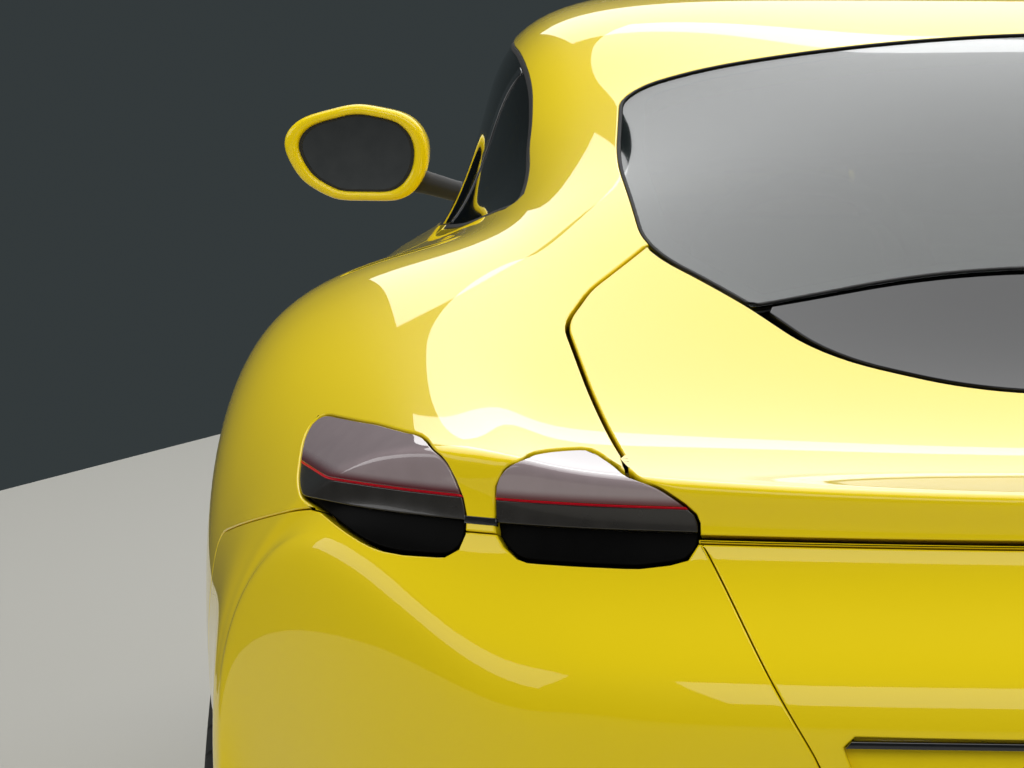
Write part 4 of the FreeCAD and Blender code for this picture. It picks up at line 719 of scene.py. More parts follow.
corner_cuts = rear_bumper_cuts + [outside(whole_centre, "rear", 0.5 * SEAM, behind=TAIL_BEHIND_X)]
bumper_shell = pressing((20.4, 31.0), (-8.0, 8.0), corner_cuts, 0.022, step=0.015)
add_pressing("rear_bumper_skin", bumper_shell, painted_plastic, "body", "paint", "rear_bumper")

# Plate panel: the middle of the tail between the lamps, moulded and painted like the bumper.
# Its middle is sunk for the number plate, whose place is left bare.
centre_cuts = rear_bumper_cuts + [inside(whole_centre, "rear", 0.5 * SEAM), outside(PLATE_POCKET, "rear")]
centre_shell = pressing((21.0, 31.0), (-4.0, 4.0), centre_cuts, 0.022, step=0.012)
add_pressing("plate_panel_skin", centre_shell, painted_plastic, "body", "paint", "plate_panel")

# Front bumper: a moulded, painted skin round the nose, clipped to the wings.
# It has windows for the headlamps and the grille.
GRILLE = [(0, 300, 3000), (400, 306, 60), (470, 330, 40), (440, 455, 60), (0, 470, 3000)]
whole_grille = both_sides([(z, y, *r) for y, z, *r in GRILLE])
whole_grille = [(y, z, *r) for z, y, *r in whole_grille]
front_area = [(1640, 40), (2700, 40), (2700, 1100)] + FRONT_SEAM
front_cuts = [
    inside(front_area, "side", SEAM),
    outside(BONNET, "plan", GAP, above=BONNET_FROM_Z),
    outside(HEADLAMP, "rear", SEAM),
    outside(other_side(HEADLAMP), "rear", SEAM),
    outside_wheel(*ARCH_FRONT),
    outside(whole_grille, "rear"),
]
front_shell = pressing((0.0, 7.4), (-8.0, 8.0), front_cuts, 0.022, step=0.015)
add_pressing("front_bumper_skin", front_shell, painted_plastic, "body", "paint", "front_bumper")

# Window glass: toughened, tinted panes 6 mm thick, bonded into the body with a black ceramic border.
# The door panes drop into the doors, so they have no border.
tinted_glass = surface_material("tinted_glass", (0.16, 0.19, 0.18), (0.18, 0.21, 0.20), (0.01, 0.03))
with_inputs(tinted_glass, Transmission_Weight=1.0, IOR=1.5)
ceramic_border = surface_material("ceramic_border", (0.004, 0.004, 0.005), (0.008, 0.008, 0.009), (0.25, 0.4))
rubber = surface_material("rubber_seal", (0.010, 0.010, 0.010), (0.020, 0.020, 0.020), (0.6, 0.8), bump=0.3,
                          bump_scale=500.0)
PANE_GAP = 0.0003
QUARTER_FRONT_X = -0.642
DOOR_PANE_END_X = -0.612


def band(corners, plane, width):
    """Cuts that keep a strip of so many metres along the inside of an outline."""
    return [inside(corners, plane, PANE_GAP), outside(corners, plane, -width)]


screens = [
    ("windscreen", (9.6, 14.4), (-3.6, 3.6), SCREEN, 0.045),
    ("rear_window", (16.0, 22.0), (-3.0, 3.0), REAR_GLASS, 0.032),
]
for name, rows, columns, corners, border in screens:
    above = limit(2, GLASS_FROM_Z, 1)
    pane_cuts = [inside(corners, "plan", PANE_GAP), above]
    pane = pressing(rows, columns, pane_cuts, 0.006, sunk=0.002, roll=0.001, step=0.02)
    add_pressing(name + "_pane", pane, [tinted_glass] * 3, "body", "glass", name)
    frit = pressing(rows, columns, band(corners, "plan", border) + [above], 0.0012, sunk=0.0083, roll=0.0004,
                    step=0.014)
    add_pressing(name + "_border", frit, [ceramic_border] * 3, "body", "glass", name)
    lip = pressing(rows, columns, band(corners, "plan", 0.004) + [above], 0.003, sunk=-0.0002, roll=0.001,
                   step=0.014)
    add_pressing(name + "_seal", lip, [rubber] * 3, "body", "black_trim", name)

side_columns = (1.0, 5.5)
behind_front = limit(0, QUARTER_FRONT_X, -1)
quarter_pane = pressing((14.0, 20.0), side_columns, [inside(SIDE_GLASS, "side", PANE_GAP), behind_front],
                        0.006, sunk=0.003, roll=0.001)
quarter_border = pressing((14.0, 20.0), side_columns, band(SIDE_GLASS, "side", 0.03) + [behind_front],
                          0.0012, sunk=0.0093, roll=0.0004)
door_pane = pressing((9.5, 16.0), side_columns, [inside(SIDE_GLASS, "side", 0.0065),
                                                 limit(0, DOOR_PANE_END_X, 1)], 0.006, sunk=0.003, roll=0.001)
side_seal = pressing((9.5, 20.0), side_columns, band(SIDE_GLASS, "side", 0.0055), 0.005, sunk=0.001,
                     roll=0.0015, step=0.012)
pillar_cuts = [inside(SIDE_GLASS, "side", 0.0063), limit(0, DOOR_PANE_END_X - 0.003, -1),
               limit(0, QUARTER_FRONT_X + 0.0005, 1)]
pillar_trim = pressing((14.0, 16.5), side_columns, pillar_cuts, 0.012, sunk=0.0015)
add_pair("quarter_pane", quarter_pane, [tinted_glass] * 3, "body", "glass", "quarter_glass")
add_pair("quarter_border", quarter_border, [ceramic_border] * 3, "body", "glass", "quarter_glass")
add_pair("door_pane", door_pane, [tinted_glass] * 3, "door_", "glass", "door_glass_")
add_pair("side_seal", side_seal, [rubber] * 3, "body", "black_trim", "quarter_glass")
add_pair("pillar_trim", pillar_trim, [black_gloss] * 3, "body", "black_trim", "quarter_glass")

# Tail lamps: two smoked lenses each side, let into body and bumper. A thin red light line runs under
# the dome of each lens, over a grey band and a black lower block.
# The lens is tinted dark red up to the first height and smoked from the second on.
RED_UP_TO_Z = 0.893
SMOKED_FROM_Z = 0.903
smoked_lens = surface_material("smoked_lens", (0.30, 0.24, 0.25), (0.36, 0.29, 0.30), (0.02, 0.05), coat=1.0)
nodes, links = smoked_lens.node_tree.nodes, smoked_lens.node_tree.links
shader = nodes["Principled BSDF"]
place = nodes.new("ShaderNodeTexCoord")
height = nodes.new("ShaderNodeSeparateXYZ")
fade = nodes.new("ShaderNodeMapRange")
fade.interpolation_type = "SMOOTHSTEP"
fade.inputs["From Min"].default_value = RED_UP_TO_Z
fade.inputs["From Max"].default_value = SMOKED_FROM_Z
tint = nodes.new("ShaderNodeMix")
tint.data_type = "RGBA"
tint.inputs[6].default_value = (0.11, 0.012, 0.018, 1)
pale = shader.inputs["Base Color"].links[0].from_socket
links.new(place.outputs["Object"], height.inputs["Vector"])
links.new(height.outputs["Z"], fade.inputs["Value"])
links.new(fade.outputs["Result"], tint.inputs[0])
links.new(pale, tint.inputs[7])
links.new(tint.outputs[2], shader.inputs["Base Color"])
grey_band = surface_material("grey_lamp_band", (0.020, 0.018, 0.016), (0.030, 0.027, 0.024), (0.2, 0.3),
                             coat=0.5)
red_line = surface_material("red_light_line", (0.45, 0.004, 0.010), (0.6, 0.006, 0.014), (0.2, 0.3))
with_inputs(red_line, Emission_Color=(0.8, 0.01, 0.03, 1), Emission_Strength=0.22)
# Lower block: black plastic, darker and almost free of reflection beyond the other blacks, as painted shade
# of its recess.
lamp_black_and_shade = surface_material("lamp_black_and_shade", (0.003, 0.003, 0.003), (0.005, 0.005, 0.005), (0.25, 0.35))
with_inputs(lamp_black_and_shade, Specular_IOR_Level=0.02)
LINE_FOOT_Z = 0.8899
LINE_HEAD_Z = 0.8921
BAND_FOOT_Z = 0.868
layers = [
    # name, material, slot, foot z, head z, depth, how far sunk
    ("lens", smoked_lens, "lamp_clear", LINE_HEAD_Z, 2.0, 0.030, 0.0005),
    ("light_line", red_line, "lamp_red", LINE_FOOT_Z, LINE_HEAD_Z, 0.006, 0.0016),
    ("grey_band", grey_band, "lamp_clear", BAND_FOOT_Z, LINE_FOOT_Z, 0.026, 0.0022),
    ("lower_block", lamp_black_and_shade, "black_gloss", 0.0, BAND_FOOT_Z - 0.0006, 0.016, 0.0100),
]
for lamp, corners in (("outer", OUTER_LAMP), ("inner", INNER_LAMP)):
    for layer, material, slot, foot, head, depth, sunk in layers:
        cuts = [inside(corners, "rear", 0.0004), limit(2, foot, 1), limit(2, head, -1)]
        shell = pressing((20.6, 27.0), (1.0, 6.6), cuts, depth, step=0.008, sunk=sunk, roll=0.0015)
        add_pair(lamp + "_tail_" + layer, shell, [material] * 3, "body", slot, "tail_lamps")
bridge_cuts = [inside([(606, 865.5), (644, 865.5), (644, 873), (606, 873)], "rear")]
bridge_cuts += [outside(corners, "rear", -0.001, behind=LAMPS_BEHIND_X)
                for corners in (OUTER_LAMP, INNER_LAMP)]
bridge = pressing((22.0, 27.0), (3.0, 5.0), bridge_cuts, 0.004, step=0.006, sunk=-0.0006, roll=0.0008)
add_pair("lamp_bridge", bridge, [black_gloss] * 3, "body", "black_gloss", "tail_lamps")


def spun(profile, centre, axis, segments=64, closed=True):
    """Points and faces of a profile (along the axis, radius) turned about an axis line through a centre."""
    axis = np.array(axis, float) / np.linalg.norm(axis)
    side = np.cross(axis, (0.0, 0.0, 1.0)) if abs(axis[2]) < 0.9 else np.array((1.0, 0.0, 0.0))
    side /= np.linalg.norm(side)
    up = np.cross(side, axis)
    points, faces = [], []
    count = len(profile)
    for k in range(segments):
        angle = 2 * math.pi * k / segments
        out = math.cos(angle) * side + math.sin(angle) * up
        points += [np.array(centre) + axis * along + out * radius for along, radius in profile]
    for k in range(segments):
        here, there = k * count, (k + 1) % segments * count
        for i in range(count if closed else count - 1):
            j = (i + 1) % count
            faces.append([here + i, here + j, there + j, there + i])
    if not closed:
        for i, turn in ((0, 1), (count - 1, -1)):
            faces.append([k * count + i for k in range(segments)][::turn])
    return points, faces


def combined(*parts):
    """Several (points, faces) as one."""
    points, faces = [], []
    for some_points, some_faces in parts:
        faces += [[k + len(points) for k in face] for face in some_faces]
        points += [tuple(p) for p in some_points]
    return points, faces


SOFT_EDGE_DEGREES = 38
BEVELLED_DEGREES = 30


def finished(name, shape, material, body, slot, *replaced, bevel=0.0, segments=2, subdivide=0):
    """A piece from points and faces: edges bevelled, sides turned outward, sharp edges kept sharp."""
    mesh = bpy.data.meshes.new(name)
    build = bmesh.new()
    points, faces = shape
    vertices = [build.verts.new(p) for p in points]
    for face in faces:
        build.faces.new([vertices[k] for k in face])
    bmesh.ops.remove_doubles(build, verts=build.verts, dist=1e-5)
    bmesh.ops.recalc_face_normals(build, faces=build.faces)
    if bevel:
        edges = [e for e in build.edges
                 if e.is_manifold and e.calc_face_angle(0) > math.radians(BEVELLED_DEGREES)]
        bmesh.ops.bevel(build, geom=edges, offset=bevel, segments=segments, affect="EDGES", profile=0.5,
                        clamp_overlap=True)
    for face in build.faces:
        face.smooth = True
    if not subdivide:
        for edge in build.edges:
            edge.smooth = edge.calc_face_angle(0) < math.radians(SOFT_EDGE_DEGREES)
    build.to_mesh(mesh)
    build.free()
    mesh.materials.append(material)
    piece = bpy.data.objects.new(name, mesh)
    bpy.context.scene.collection.objects.link(piece)
    if subdivide:
        modifier = piece.modifiers.new("smooth", "SUBSURF")
        modifier.levels = modifier.render_levels = subdivide
    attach(piece, body)
    if replaced:
        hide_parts(*replaced)
    return piece


def slab(corners, plane, low, high):
    """A plate cut to an outline in millimetres, from low to high across its plane."""
    line = outline(corners, "plain")
    place = {"side": (0, 2, 1), "plan": (0, 1, 2), "rear": (1, 2, 0)}[plane]
    points = np.zeros((2 * len(line), 3))
    points[:, place[0]] = np.tile(line[:, 0], 2)
    points[:, place[1]] = np.tile(line[:, 1], 2)
    points[:, place[2]] = np.repeat((low * MM, high * MM), len(line))
    count = len(line)
    faces = [list(range(count))[::-1], list(range(count, 2 * count))]
    faces += [[i, (i + 1) % count, (i + 1) % count + count, i + count] for i in range(count)]
    return points, faces


# Headlamps: a clear moulded lens over a dark housing, with a slim light strip round its edge.
# Each is let into the seam between wing and bumper.
clear_lens = surface_material("clear_lens", (0.80, 0.82, 0.84), (0.84, 0.86, 0.88), (0.01, 0.03))
with_inputs(clear_lens, Transmission_Weight=1.0, IOR=1.49)
white_line = surface_material("white_light_line", (0.7, 0.72, 0.75), (0.8, 0.82, 0.85), (0.2, 0.3))
with_inputs(white_line, Emission_Color=(0.9, 0.95, 1.0, 1), Emission_Strength=0.25)
head_rows, head_columns = (2.4, 8.0), (2.0, 6.4)
nose_side = limit(0, 1.5, 1)
head_layers = [
    # name, material, slot, cuts, depth, step, how far sunk
    ("lens", clear_lens, "lamp_clear", [inside(HEADLAMP, "rear", 0.0004), nose_side], 0.003, 0.01, 0.001),
    ("bowl", black_gloss, "black_gloss", [inside(HEADLAMP, "rear", 0.003), nose_side], 0.004, 0.012, 0.029),
    ("light_strip", white_line, "lamp_clear",
     [inside(HEADLAMP, "rear", 0.010), nose_side, outside(HEADLAMP, "rear", -0.016)], 0.004, 0.008, 0.012),
]
for name, material, slot, cuts, depth, step, sunk in head_layers:
    shell = pressing(head_rows, head_columns, cuts, depth, step=step, sunk=sunk, roll=0.001)
    add_pair("headlamp_" + name, shell, [material] * 3, "body", slot, "headlamps")

# Door mirrors: a painted shell with a black inner frame and a mirror glass that faces back.
# Each stands on a black arm that is bolted to the door.
MIRROR_OUTLINE = [(1120, 1030, 22), (1098, 1062, 60), (1010, 1086, 80), (930, 1070, 50), (904, 1034, 50),
                  (908, 985, 50), (935, 946, 36), (1040, 946, 60), (1090, 974, 50)]
MIRROR_MIDDLE = np.array((1008.0, 1012.0)) * MM
MIRROR_POINTS = 72


def mirror_ring(share, x, inward=0.0):
    """Points round the mirror at even angles, drawn in to a share of its size and moved towards the door."""
    line = outline(MIRROR_OUTLINE, "plain") - MIRROR_MIDDLE
    steps = np.linspace(0, 1, 12, endpoint=False)[:, None, None]
    line = (line + steps * (np.roll(line, -1, axis=0) - line)).transpose(1, 0, 2).reshape(-1, 2)
    angle = np.mod(np.arctan2(line[:, 1], line[:, 0]), 2 * math.pi)
    order = np.argsort(angle)
    around = np.linspace(0, 2 * math.pi, MIRROR_POINTS, endpoint=False)
    reach = np.interp(around, angle[order], np.hypot(*line.T)[order], period=2 * math.pi) * share
    for _ in range(4):
        reach = 0.25 * np.roll(reach, 1) + 0.5 * reach + 0.25 * np.roll(reach, -1)
    flat = MIRROR_MIDDLE - (inward, 0) + np.column_stack((np.cos(around), np.sin(around))) * reach[:, None]
    return np.column_stack((np.full(MIRROR_POINTS, x * MM), flat))


def lofted(rings, loop=False):
    """Points and faces through equal rings, the first and last closed with a cap unless looped."""
    count = len(rings[0])
    points = np.vstack(rings)
    faces = []
    last = len(rings) if loop else len(rings) - 1
    for k in range(last):
        here, there = k * count, (k + 1) % len(rings) * count
        faces += [[here + i, here + (i + 1) % count, there + (i + 1) % count, there + i]
                  for i in range(count)]
    if not loop:
        faces += [list(range(count))[::-1], [(len(rings) - 1) * count + i for i in range(count)]]
    return points, faces


mirror_glass = surface_material("mirror_glass", (0.10, 0.11, 0.12), (0.14, 0.15, 0.16), (0.01, 0.03),
                                metallic=1.0)
mirror_rings = [mirror_ring(*place) for place in (
    # share of the outline, x, how far drawn towards the door
    (0.79, 424, 0), (0.80, 420, 0), (0.81, 414, 0), (0.835, 411.6, 0), (0.93, 411.6, 0), (0.985, 414, 0),
    (1.0, 421, 0), (0.985, 450, 0.002), (0.88, 489, 0.008), (0.66, 516, 0.014), (0.50, 527, 0.018),
    (0.30, 533, 0.02), (0.10, 535, 0.02))]
arm_profile = [(0.0, 0.0185), (0.012, 0.0165), (0.055, 0.0150), (0.080, 0.0165), (0.096, 0.021)]
for side, turn in SIDES:
    flip = np.array((1, turn, 1))
    shell = lofted([ring * flip for ring in mirror_rings])
    finished("mirror_shell_" + side, shell, paint, "door_" + side, "paint", "mirror_" + side, subdivide=1)
    frame_rings = [mirror_ring(0.745, 423.8) * flip, mirror_ring(0.75, 419) * flip,
                   mirror_ring(0.795, 419) * flip, mirror_ring(0.795, 423.8) * flip]
    finished("mirror_frame_" + side, lofted(frame_rings, loop=True), black_trim, "door_" + side, "black_trim",
             "mirror_" + side)
    glass = lofted([mirror_ring(0.75, 423.5) * flip, mirror_ring(0.75, 421.0) * flip])
    finished("mirror_pane_" + side, glass, mirror_glass, "door_" + side, "glass", "mirror_" + side)
    start = np.array((0.462, 0.925, 0.972)) * flip
    end = np.array((0.464, 0.832, 0.946)) * flip
    finished("mirror_arm_" + side, spun(arm_profile, start, end - start, 28, closed=False), black_trim,
             "door_" + side, "black_trim", "mirror_" + side)

# Wheels: a black tyre with four grooves and slotted shoulders on a cast rim with five pairs of spokes.
# Each rim is held by five bolts; its cap is plain.
tyre_rubber = surface_material("tyre_rubber", (0.012, 0.012, 0.012), (0.022, 0.022, 0.021), (0.7, 0.88),
                               bump=0.4, bump_scale=260.0)
alloy = surface_material("wheel_alloy", (0.32, 0.33, 0.34), (0.40, 0.41, 0.42), (0.22, 0.32), metallic=1.0,
                         bump=0.08, bump_scale=500.0)
RIM_RADIUS = 254.0
HUB_RADIUS = 78.0
GROOVE_DEPTH = 7.0
SHOULDER_PITCHES = 66


def tyre_shape(half, radius, centre, outward):
    """Grooved tread on rounded shoulders and sidewalls, with slots cut across the shoulders."""
    bead = RIM_RADIUS + 0.5
    tread = half - 34.0
    side = [(half - 9.3, bead), (half - 9.3, bead + 10), (half - 3, bead + 20), (half, bead + 36),
            (half - 0.6, 0.5 * (bead + radius)), (half - 4, radius - 25), (half - 10, radius - 12.5),
            (half - 20, radius - 5), (half - 32, radius - 1.8)]
    across = []
    for groove in (0.62, 0.20, -0.20, -0.62):
        middle = groove * tread
        across += [(middle + 5, 0), (middle + 3.6, GROOVE_DEPTH),
                   (middle - 3.6, GROOVE_DEPTH), (middle - 5, 0)]
    crown = [(y, radius - drop - 1.2 * (y / tread) ** 2) for y, drop in across]
    profile = side + crown + [(-y, r) for y, r in side[::-1]]
    slotted = [abs(y) > 0.62 * tread + 5.5 and r > radius - 20 for y, r in profile]
    rings = []
    for pitch in range(SHOULDER_PITCHES):
        for share, lowered in ((0.0, 0), (0.05, 1), (0.2, 1), (0.25, 0)):
            angle = 2 * math.pi * (pitch + share) / SHOULDER_PITCHES
            rings.append([(math.cos(angle) * (r - 5.0 * lowered * cut_here),
                           outward * y, math.sin(angle) * (r - 5.0 * lowered * cut_here))
                          for (y, r), cut_here in zip(profile, slotted)])
    return lofted([np.array(ring) * MM + centre for ring in rings], loop=True)


def spoke(angle, lean, level):
    """One arm of a pair, as sections from hub to rim; level is the face's place along the axle."""
    rings = []
    for radius, width, lift, depth in ((56, 15, -10, 30), (100, 11.5, -5, 28), (150, 9.5, -1, 25),
                                       (200, 9.5, 2, 24), (243, 13, 4, 26)):
        offset = lean * (12.0 + 0.16 * (radius - HUB_RADIUS))
        face = level + lift
        ring = [(radius, offset - width, face - 5), (radius, offset - width + 4, face),
                (radius, offset, face + 1.5), (radius, offset + width - 4, face),
                (radius, offset + width, face - 5), (radius, offset + width - 2.5, face - depth),
                (radius, offset, face - depth - 2), (radius, offset - width + 2.5, face - depth)]
        rings.append(np.array([(math.cos(angle) * a - math.sin(angle) * b, c,
                                math.sin(angle) * a + math.cos(angle) * b) for a, b, c in ring]))
    return lofted(rings)


for axle in ("front", "rear"):
    for side, outward in SIDES:
        low, high = (np.array(corner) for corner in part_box("tyre_" + axle + "_" + side))
        centre = 0.5 * (low + high)
        half = 500.0 * (high[1] - low[1])
        radius = 500.0 * (high[2] - low[2])
        body = "wheel_" + axle + "_" + side
        finished("tread_and_sidewalls_" + axle + "_" + side, tyre_shape(half, radius, centre, outward),
                 tyre_rubber, body, "tyre", "tyre_" + axle + "_" + side)
        r = RIM_RADIUS
        level = half - 20.0
        barrel = outline([(-half + 9, r), (-half + 9, r - 13, 3), (-half + 40, r - 22, 30),
                          (half - 34, r - 17, 30), (half - 6, r - 9, 3), (half - 6, r + 10, 1.4),
                          (half - 9, r + 10, 1.4), (half - 9, r)], "plain")
        hub_face = outline([(level - 40, 30), (level - 40, HUB_RADIUS, 3), (level - 10, HUB_RADIUS - 8, 10),
                            (level - 6, 34, 6), (level - 14, 30, 2)], "plain")
        cap = [(level - 40, 0.5), (level - 40, 29.5), (level - 12, 29.5), (level - 9, 27), (level - 7.6, 14),
               (level - 7.2, 0.5)]
        bolt_head = [(level - 12, 0.5), (level - 12, 9.5), (level - 4, 8.5),
                     (level - 3, 6.5), (level - 3, 0.5)]
        shapes = [spun(list(barrel), (0, 0, 0), (0, 1, 0), 120),
                  spun(list(hub_face), (0, 0, 0), (0, 1, 0), 60),
                  spun([(a * MM, b * MM) for a, b in cap], (0, 0, 0), (0, 1, 0), 40, closed=False)]
        for k in range(5):
            angle = 2 * math.pi * k / 5
            for lean in (-1, 1):
                points, faces = spoke(angle, lean, level)
                shapes.append((points * MM, faces))
            bolt = (52 * MM * math.cos(angle + 0.6), 0.0, 52 * MM * math.sin(angle + 0.6))
            shapes.append(spun([(a * MM, b * MM) for a, b in bolt_head], bolt, (0, 1, 0), 12, closed=False))
        points, faces = combined(*shapes)
        points = np.array(points) * (1, outward, 1) + centre
        finished("cast_rim_" + axle + "_" + side, (points, faces), alloy, body, "alloy",
                 "rim_" + axle + "_" + side)

# Grille: a dark moulded honeycomb of small bars set back in the front bumper's mouth.
# It is clipped into a plain frame round the opening.
BAR_PITCH = 0.024
grille_cells = []
for row in range(9):
    for column in range(-21, 22):
        y = (column + 0.5 * (row % 2)) * BAR_PITCH
        z = 0.302 + row * BAR_PITCH * 0.866
        grille_cells.append((y, z))
grille_cells = np.array(grille_cells)
grille_line = outline(whole_grille, "rear")
grille_cells = grille_cells[depth_inside(grille_cells, grille_line) > 0.004]
grid_u, grid_v = np.meshgrid(np.linspace(0.3, 3.6, 60), np.linspace(-4.6, 4.6, 120), indexing="ij")
grid = np.column_stack((grid_u.ravel(), grid_v.ravel()))
nose_points = on_skin(grid) - facing_out(grid) * 0.010
grille_x = [nose_points[np.argmin(np.hypot(nose_points[:, 1] - y, nose_points[:, 2] - z)), 0]
            for y, z in grille_cells]
points_mesh = bpy.data.meshes.new("grille_cells")
points_mesh.from_pydata([(x - 0.006, y, z) for x, (y, z) in zip(grille_x, grille_cells)], [], [])
cells = bpy.data.objects.new("grille_cells", points_mesh)
bpy.context.scene.collection.objects.link(cells)

honeycomb = bpy.data.node_groups.new("honeycomb", "GeometryNodeTree")
honeycomb.interface.new_socket("Geometry", in_out="INPUT", socket_type="NodeSocketGeometry")
grille_sizes = {"Cell radius": 0.0125, "Bar radius": 0.0016}
for size_name in grille_sizes:
    honeycomb.interface.new_socket(size_name, in_out="INPUT", socket_type="NodeSocketFloat")
honeycomb.interface.new_socket("Geometry", in_out="OUTPUT", socket_type="NodeSocketGeometry")
nodes, links = honeycomb.nodes, honeycomb.links
group_in, group_out = nodes.new("NodeGroupInput"), nodes.new("NodeGroupOutput")
cell_line = nodes.new("GeometryNodeCurvePrimitiveCircle")
cell_line.inputs["Resolution"].default_value = 6
bar_line = nodes.new("GeometryNodeCurvePrimitiveCircle")
bar_line.inputs["Resolution"].default_value = 4
bars = nodes.new("GeometryNodeCurveToMesh")
turned_cell = nodes.new("GeometryNodeTransform")
turned_cell.inputs["Rotation"].default_value = (math.pi / 2, 0, math.pi / 2)
on_points = nodes.new("GeometryNodeInstanceOnPoints")
real = nodes.new("GeometryNodeRealizeInstances")
coat = nodes.new("GeometryNodeSetMaterial")
coat.inputs["Material"].default_value = black_gloss
links.new(group_in.outputs["Cell radius"], cell_line.inputs["Radius"])
links.new(group_in.outputs["Bar radius"], bar_line.inputs["Radius"])
links.new(cell_line.outputs["Curve"], bars.inputs["Curve"])
links.new(bar_line.outputs["Curve"], bars.inputs["Profile Curve"])
links.new(bars.outputs["Mesh"], turned_cell.inputs["Geometry"])
links.new(group_in.outputs["Geometry"], on_points.inputs["Points"])
links.new(turned_cell.outputs["Geometry"], on_points.inputs["Instance"])
links.new(on_points.outputs["Instances"], real.inputs["Geometry"])
links.new(real.outputs["Geometry"], coat.inputs["Geometry"])
links.new(coat.outputs["Geometry"], group_out.inputs["Geometry"])
modifier = cells.modifiers.new("honeycomb", "NODES")
modifier.node_group = honeycomb
for item in honeycomb.interface.items_tree:
    if item.in_out == "INPUT" and item.name in grille_sizes:
        modifier[item.identifier] = grille_sizes[item.name]
evaluated = cells.evaluated_get(bpy.context.evaluated_depsgraph_get())
mesh = bpy.data.meshes.new_from_object(evaluated)
bpy.data.objects.remove(cells)
grille_bars = bpy.data.objects.new("grille_honeycomb", mesh)
bpy.context.scene.collection.objects.link(grille_bars)
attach(grille_bars, "body")
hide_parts("grille")
frame_cuts = [inside(whole_grille, "rear", 0.0004), outside(whole_grille, "rear", -0.010), limit(0, 1.9, 1)]
grille_frame = pressing((0.2, 3.8), (-4.6, 4.6), frame_cuts, 0.016, step=0.012, sunk=0.003, roll=0.002)
add_pressing("grille_frame", grille_frame, [black_gloss] * 3, "body", "black_trim", "grille")

# Front seats: one-piece sports seats in black leather over foam, with raised side bolsters, sewn channels
# and a headrest in one with the back. Each is bolted to the floor on a plastic base.
leather = surface_material("black_leather", (0.018, 0.018, 0.019), (0.030, 0.030, 0.031), (0.42, 0.58),
                           bump=0.35, bump_scale=380.0)
SEAT_Y = 370.0


def pad_rings(path, half_width, bolster, y, channels=(0.52,)):
    """Closed sections along a seat pad; path rows: x, z, tilt in degrees, thickness, width share."""
    rings = []
    for x, z, tilt, thickness, share in path:
        angle = math.radians(tilt)
        along = np.array((math.cos(angle), math.sin(angle)))
        out = np.array((-math.sin(angle), math.cos(angle)))
        ring = []
        width = half_width * share
        for s in np.linspace(-1, 1, 29):
            rise = max(0.0, (abs(s) - 0.45) / 0.4) ** 1.6 if abs(s) < 0.85 else 1.0
            raised = bolster * share * rise
            edge = max(0.0, (abs(s) - 0.82) / 0.18)
            height = raised - 26 * edge ** 2
            for channel in channels:
                height -= 7.0 * math.exp(-((abs(s) - channel) / 0.018) ** 2)
            place = np.array((x, z)) + out * height
            ring.append((place[0], y + s * width * (1 - 0.02 * edge), place[1]))
        for s in np.linspace(1, -1, 9):
            place = np.array((x, z)) - out * (thickness - 14 * abs(s))
            ring.append((place[0], y + s * width * 0.96, place[1]))
        rings.append(np.array(ring) * MM)
    return rings


cushion_path = [(128, 262, 8, 30, 0.86), (132, 290, 8, 60, 0.95), (118, 312, 6, 80, 0.99),
                (60, 318, 5, 90, 1.0), (-60, 308, 5, 92, 1.0), (-180, 297, 5, 88, 1.0),
                (-262, 292, 5, 80, 0.98), (-300, 296, 4, 66, 0.9)]
back_path = [(-318, 300, -66, 40, 0.90), (-322, 340, -66, 78, 0.98), (-338, 420, -68, 88, 1.0),
             (-372, 520, -69, 84, 1.0), (-412, 620, -69, 78, 0.98), (-452, 720, -69, 70, 0.92),
             (-488, 810, -69, 62, 0.80), (-510, 862, -69, 58, 0.62), (-528, 910, -69, 58, 0.52),
             (-545, 958, -69, 62, 0.52), (-560, 998, -69, 58, 0.48), (-568, 1016, -69, 40, 0.38)]
for side, turn in SIDES:
    for part, path, bolster in (("cushion", cushion_path, 38.0), ("backrest", back_path, 46.0)):
        shape = lofted(pad_rings(path, 248.0, bolster, turn * SEAT_Y))
        pad = finished("front_seat_" + part + "_" + side, shape, leather, "body", "leather", "front_seats",
                       subdivide=1)
    base = slab([(110, 172, 20), (130, 262, 20), (-330, 246, 30), (-400, 300, 30), (-400, 172, 20)], "side",
                turn * SEAT_Y - 190, turn * SEAT_Y + 190)
    finished("front_seat_base_" + side, base, black_trim, "body", "black_trim", "front_seats", bevel=0.006)

# Rear seats: a small sewn cushion and backrest each side of the tunnel, in the same leather over foam.
# They are fixed to the floor and the wall behind the cabin.
rear_cushion = [(-700, 240, 0, 40, 0.92), (-696, 305, 0, 90, 0.98), (-740, 322, -4, 110, 1.0),
                (-850, 312, -6, 110, 1.0), (-920, 306, -6, 100, 0.98), (-940, 304, -6, 80, 0.92)]
rear_back = [(-948, 320, -76, 40, 0.92), (-956, 360, -77, 60, 0.99), (-972, 450, -78, 60, 1.0),
             (-992, 560, -80, 44, 1.0), (-1004, 620, -80, 30, 0.97), (-1010, 640, -80, 22, 0.9)]
for side, turn in SIDES:
    for part, path in (("cushion", rear_cushion), ("backrest", rear_back)):
        shape = lofted(pad_rings(path, 214.0, 14.0, turn * 343.0, (0.35, 0.7)))
        pad = finished("rear_seat_" + part + "_" + side, shape, leather, "body", "leather", "rear_seats",
                       subdivide=1)

